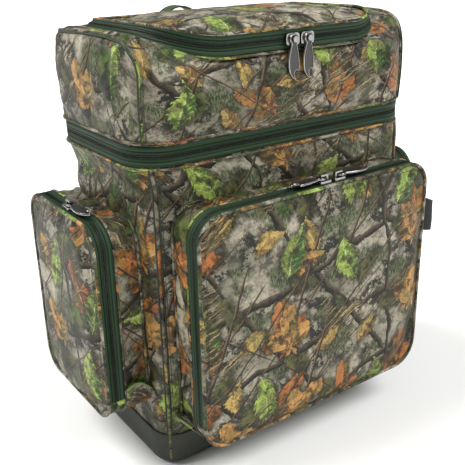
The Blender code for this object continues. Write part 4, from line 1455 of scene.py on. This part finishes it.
def build_webbing(side, name, path):
    """The adjusting webbing from a ladder lock to its tab, and the tab."""
    heading = (path[-1] - path[-3]).normalized()
    low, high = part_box(name + "_ladder_lock")
    centre = (Vector(low) + Vector(high)) / 2
    anchor = Vector((side * 0.146, 0.1065, 0.0740))
    start = centre + heading * (0.013 + 0.0036)
    middle = start.lerp(anchor, 0.5) + Vector((side * 0.004, 0.003, 0))
    route = smooth_path([start, middle, anchor], 26)
    piece = Piece(name + "_adjuster", [WEBBING, THREAD_AND_SEAM_SHADE])
    across = [Vector((1, 0, 0.32 * side)) for _ in route]
    band(piece, route, across, 0.025, 0.0018)
    place(piece, "pack", "webbing", [name + "_strap_webbing"])
    tab = Piece(name + "_anchor_tab", [WEBBING, THREAD_AND_SEAM_SHADE])
    tab_path = [Vector((side * x, 0.1018, z)) for x, z in ((0.146, 0.053), (0.1445, 0.0605), (0.143, 0.068))]
    tilt = [Vector((1, 0, 0.2 * side))] * 3
    band(tab, tab_path, tilt, 0.030, 0.003)
    for ends in (((-0.010, 0.055), (0.010, 0.066)), ((-0.010, 0.066), (0.010, 0.055))):
        line = [Vector((side * 0.1445 + x, 0.1033, z)) for x, z in ends]
        tab.stitches(line, [Vector((0, 1, 0))] * 2, 1)
    place(tab, "pack", "webbing", [name + "_webbing_tab"])


def build_handle():
    """The grab loop behind the lid."""
    low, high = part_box("grab_handle")
    middle, depth = (low[0] + high[0]) / 2, (low[1] + high[1]) / 2
    thickness = 0.0022
    half = (high[0] - low[0]) / 2 - thickness / 2
    foot = 0.4674
    rise = high[2] - thickness / 2 - foot
    path = []
    for step in range(41):
        angle = math.radians(180 - 180 * step / 40)
        path.append(Vector((middle + half * math.cos(angle), depth, foot + rise * math.sin(angle))))
    piece = Piece("grab_loop_webbing", [WEBBING, THREAD_AND_SEAM_SHADE])
    sides = [Vector((0, 1, 0)) for _ in path]
    band(piece, path, sides, 0.020, thickness)
    place(piece, "grab_loop", "webbing", ["grab_handle"])


def build_label():
    """The plain cloth tab in the front pocket's right seam."""
    low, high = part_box("side_label")
    piece = Piece("cloth_tab", [LABEL_CLOTH, THREAD_AND_SEAM_SHADE])
    rows = []
    columns = 10
    for i in range(11):
        line = []
        for j in range(columns + 1):
            u, v = j / columns, i / 10
            x = low[0] + (high[0] - low[0]) * u
            z = (low[2] + 0.004 * (1 - u)) + (0.044 - 0.004 * u) * v
            y = (low[1] + high[1]) / 2 - 0.0012 * math.sin(u * 2.6) - 0.0006 * math.sin(v * 5.0) * u
            line.append(Vector((x, y, z)))
        rows.append(line)
    piece.grid(rows, uv=lambda p: (p.x, p.z))
    place(piece, "front_flap", "label", ["side_label"], thickness=0.0012)


# Stage.

FLOOR_REACH = 26.0
FLOOR_DROP = -0.0005
BACKDROP_RADIUS = 20.0
BACKDROP_TOP = 11.5

# Name, direction towards the lamp, angle in degrees, strength.
SUNS = (("key", (-1.0, 0.75, 1.55), 34, 3.6), ("front", (0.72, -1.0, 1.55), 34, 3.0))


def build_stage():
    """A white floor and a far white backdrop, so that a low view has no horizon, and the lights."""
    net = Net("studio_floor", roughness=0.9, specular=0.2)
    net.colour((0.86, 0.86, 0.85, 1.0))
    piece = Piece("floor", [net.material])
    ends = (-FLOOR_REACH, FLOOR_REACH)
    piece.grid([[Vector((x, y, FLOOR_DROP)) for x in ends] for y in ends])
    piece.build()
    net = Net("studio_backdrop", roughness=1.0)
    net.shader.inputs["Emission Color"].default_value = (1.0, 1.0, 1.0, 1.0)
    net.shader.inputs["Emission Strength"].default_value = 1.0
    piece = Piece("backdrop", [net.material])
    turns = [math.tau * k / 48 for k in range(48)]
    circle = [(BACKDROP_RADIUS * math.cos(turn), BACKDROP_RADIUS * math.sin(turn)) for turn in turns]
    piece.grid([[Vector((x, y, z)) for x, y in circle] for z in (-0.1, BACKDROP_TOP)], closed=True)
    backdrop = piece.build()
    backdrop.visible_diffuse = backdrop.visible_glossy = backdrop.visible_shadow = False
    world = bpy.data.worlds.new("studio")
    world.use_nodes = True
    background = world.node_tree.nodes["Background"]
    background.inputs["Color"].default_value = (1.0, 1.0, 1.0, 1.0)
    background.inputs["Strength"].default_value = 0.36
    bpy.context.scene.world = world
    bpy.context.scene.view_settings.view_transform = "Standard"
    for name, towards, angle, strength in SUNS:
        lamp = bpy.data.lights.new(name, "SUN")
        lamp.angle = math.radians(angle)
        lamp.energy = strength
        obj = bpy.data.objects.new(name, lamp)
        obj.rotation_euler = (-Vector(towards)).to_track_quat("-Z", "Y").to_euler()
        bpy.context.scene.collection.objects.link(obj)


CAMERA_PLACE = (-0.5169, -0.7173, 0.5806)
CAMERA_TURN = (35.0577, 21.9025, -1.1708)
CAMERA_LENS = 56.756


def build_camera():
    """The photograph's camera: yaw, pitch and roll in degrees, lens in millimetres."""
    yaw, pitch, roll = (math.radians(degrees) for degrees in CAMERA_TURN)
    forward = Vector((math.sin(yaw) * math.cos(pitch), math.cos(yaw) * math.cos(pitch), -math.sin(pitch)))
    right = Vector((math.cos(yaw), -math.sin(yaw), 0))
    up = right.cross(forward)
    across = right * math.cos(roll) + up * math.sin(roll)
    above = up * math.cos(roll) - right * math.sin(roll)
    data = bpy.data.cameras.new("camera")
    data.sensor_width = 36.0
    data.lens = CAMERA_LENS
    camera = bpy.data.objects.new("camera", data)
    turn = Matrix((across, above, -forward)).transposed().to_4x4()
    camera.matrix_world = Matrix.Translation(CAMERA_PLACE) @ turn
    bpy.context.scene.collection.objects.link(camera)
    bpy.context.scene.camera = camera


def finish_cloth():
    """Subdivide the puffed cloth, give the open skins their thickness and lining, and sew on the trim."""
    for obj, piece, thickness, inner, pressure in finished:
        if pressure:
            modifier = obj.modifiers.new("Smooth", "SUBSURF")
            modifier.levels = 1
            modifier.render_levels = 1
        if thickness:
            modifier = obj.modifiers.new("Cloth", "SOLIDIFY")
            modifier.thickness = thickness
            modifier.offset = -1
            modifier.material_offset = inner
        if piece.decor:
            graph = bpy.context.evaluated_depsgraph_get()
            cloth = bpy.data.meshes.new_from_object(obj.evaluated_get(graph))
            extra = piece.decor.build()
            joined = bmesh.new()
            joined.from_mesh(cloth)
            joined.from_mesh(extra.data)
            obj.modifiers.clear()
            joined.to_mesh(obj.data)
            joined.free()
            bpy.data.objects.remove(extra, do_unlink=True)


build_base()
build_body()
build_belt_zip()
build_upper()
build_lid()
build_lid_zip()
build_pockets()
build_pullers()
build_back()
build_straps()
build_handle()
build_label()
finish_cad(frame["nodes"]["base_board"], BOARD, 0.0)
inflate()
finish_cloth()
build_stage()
build_camera()
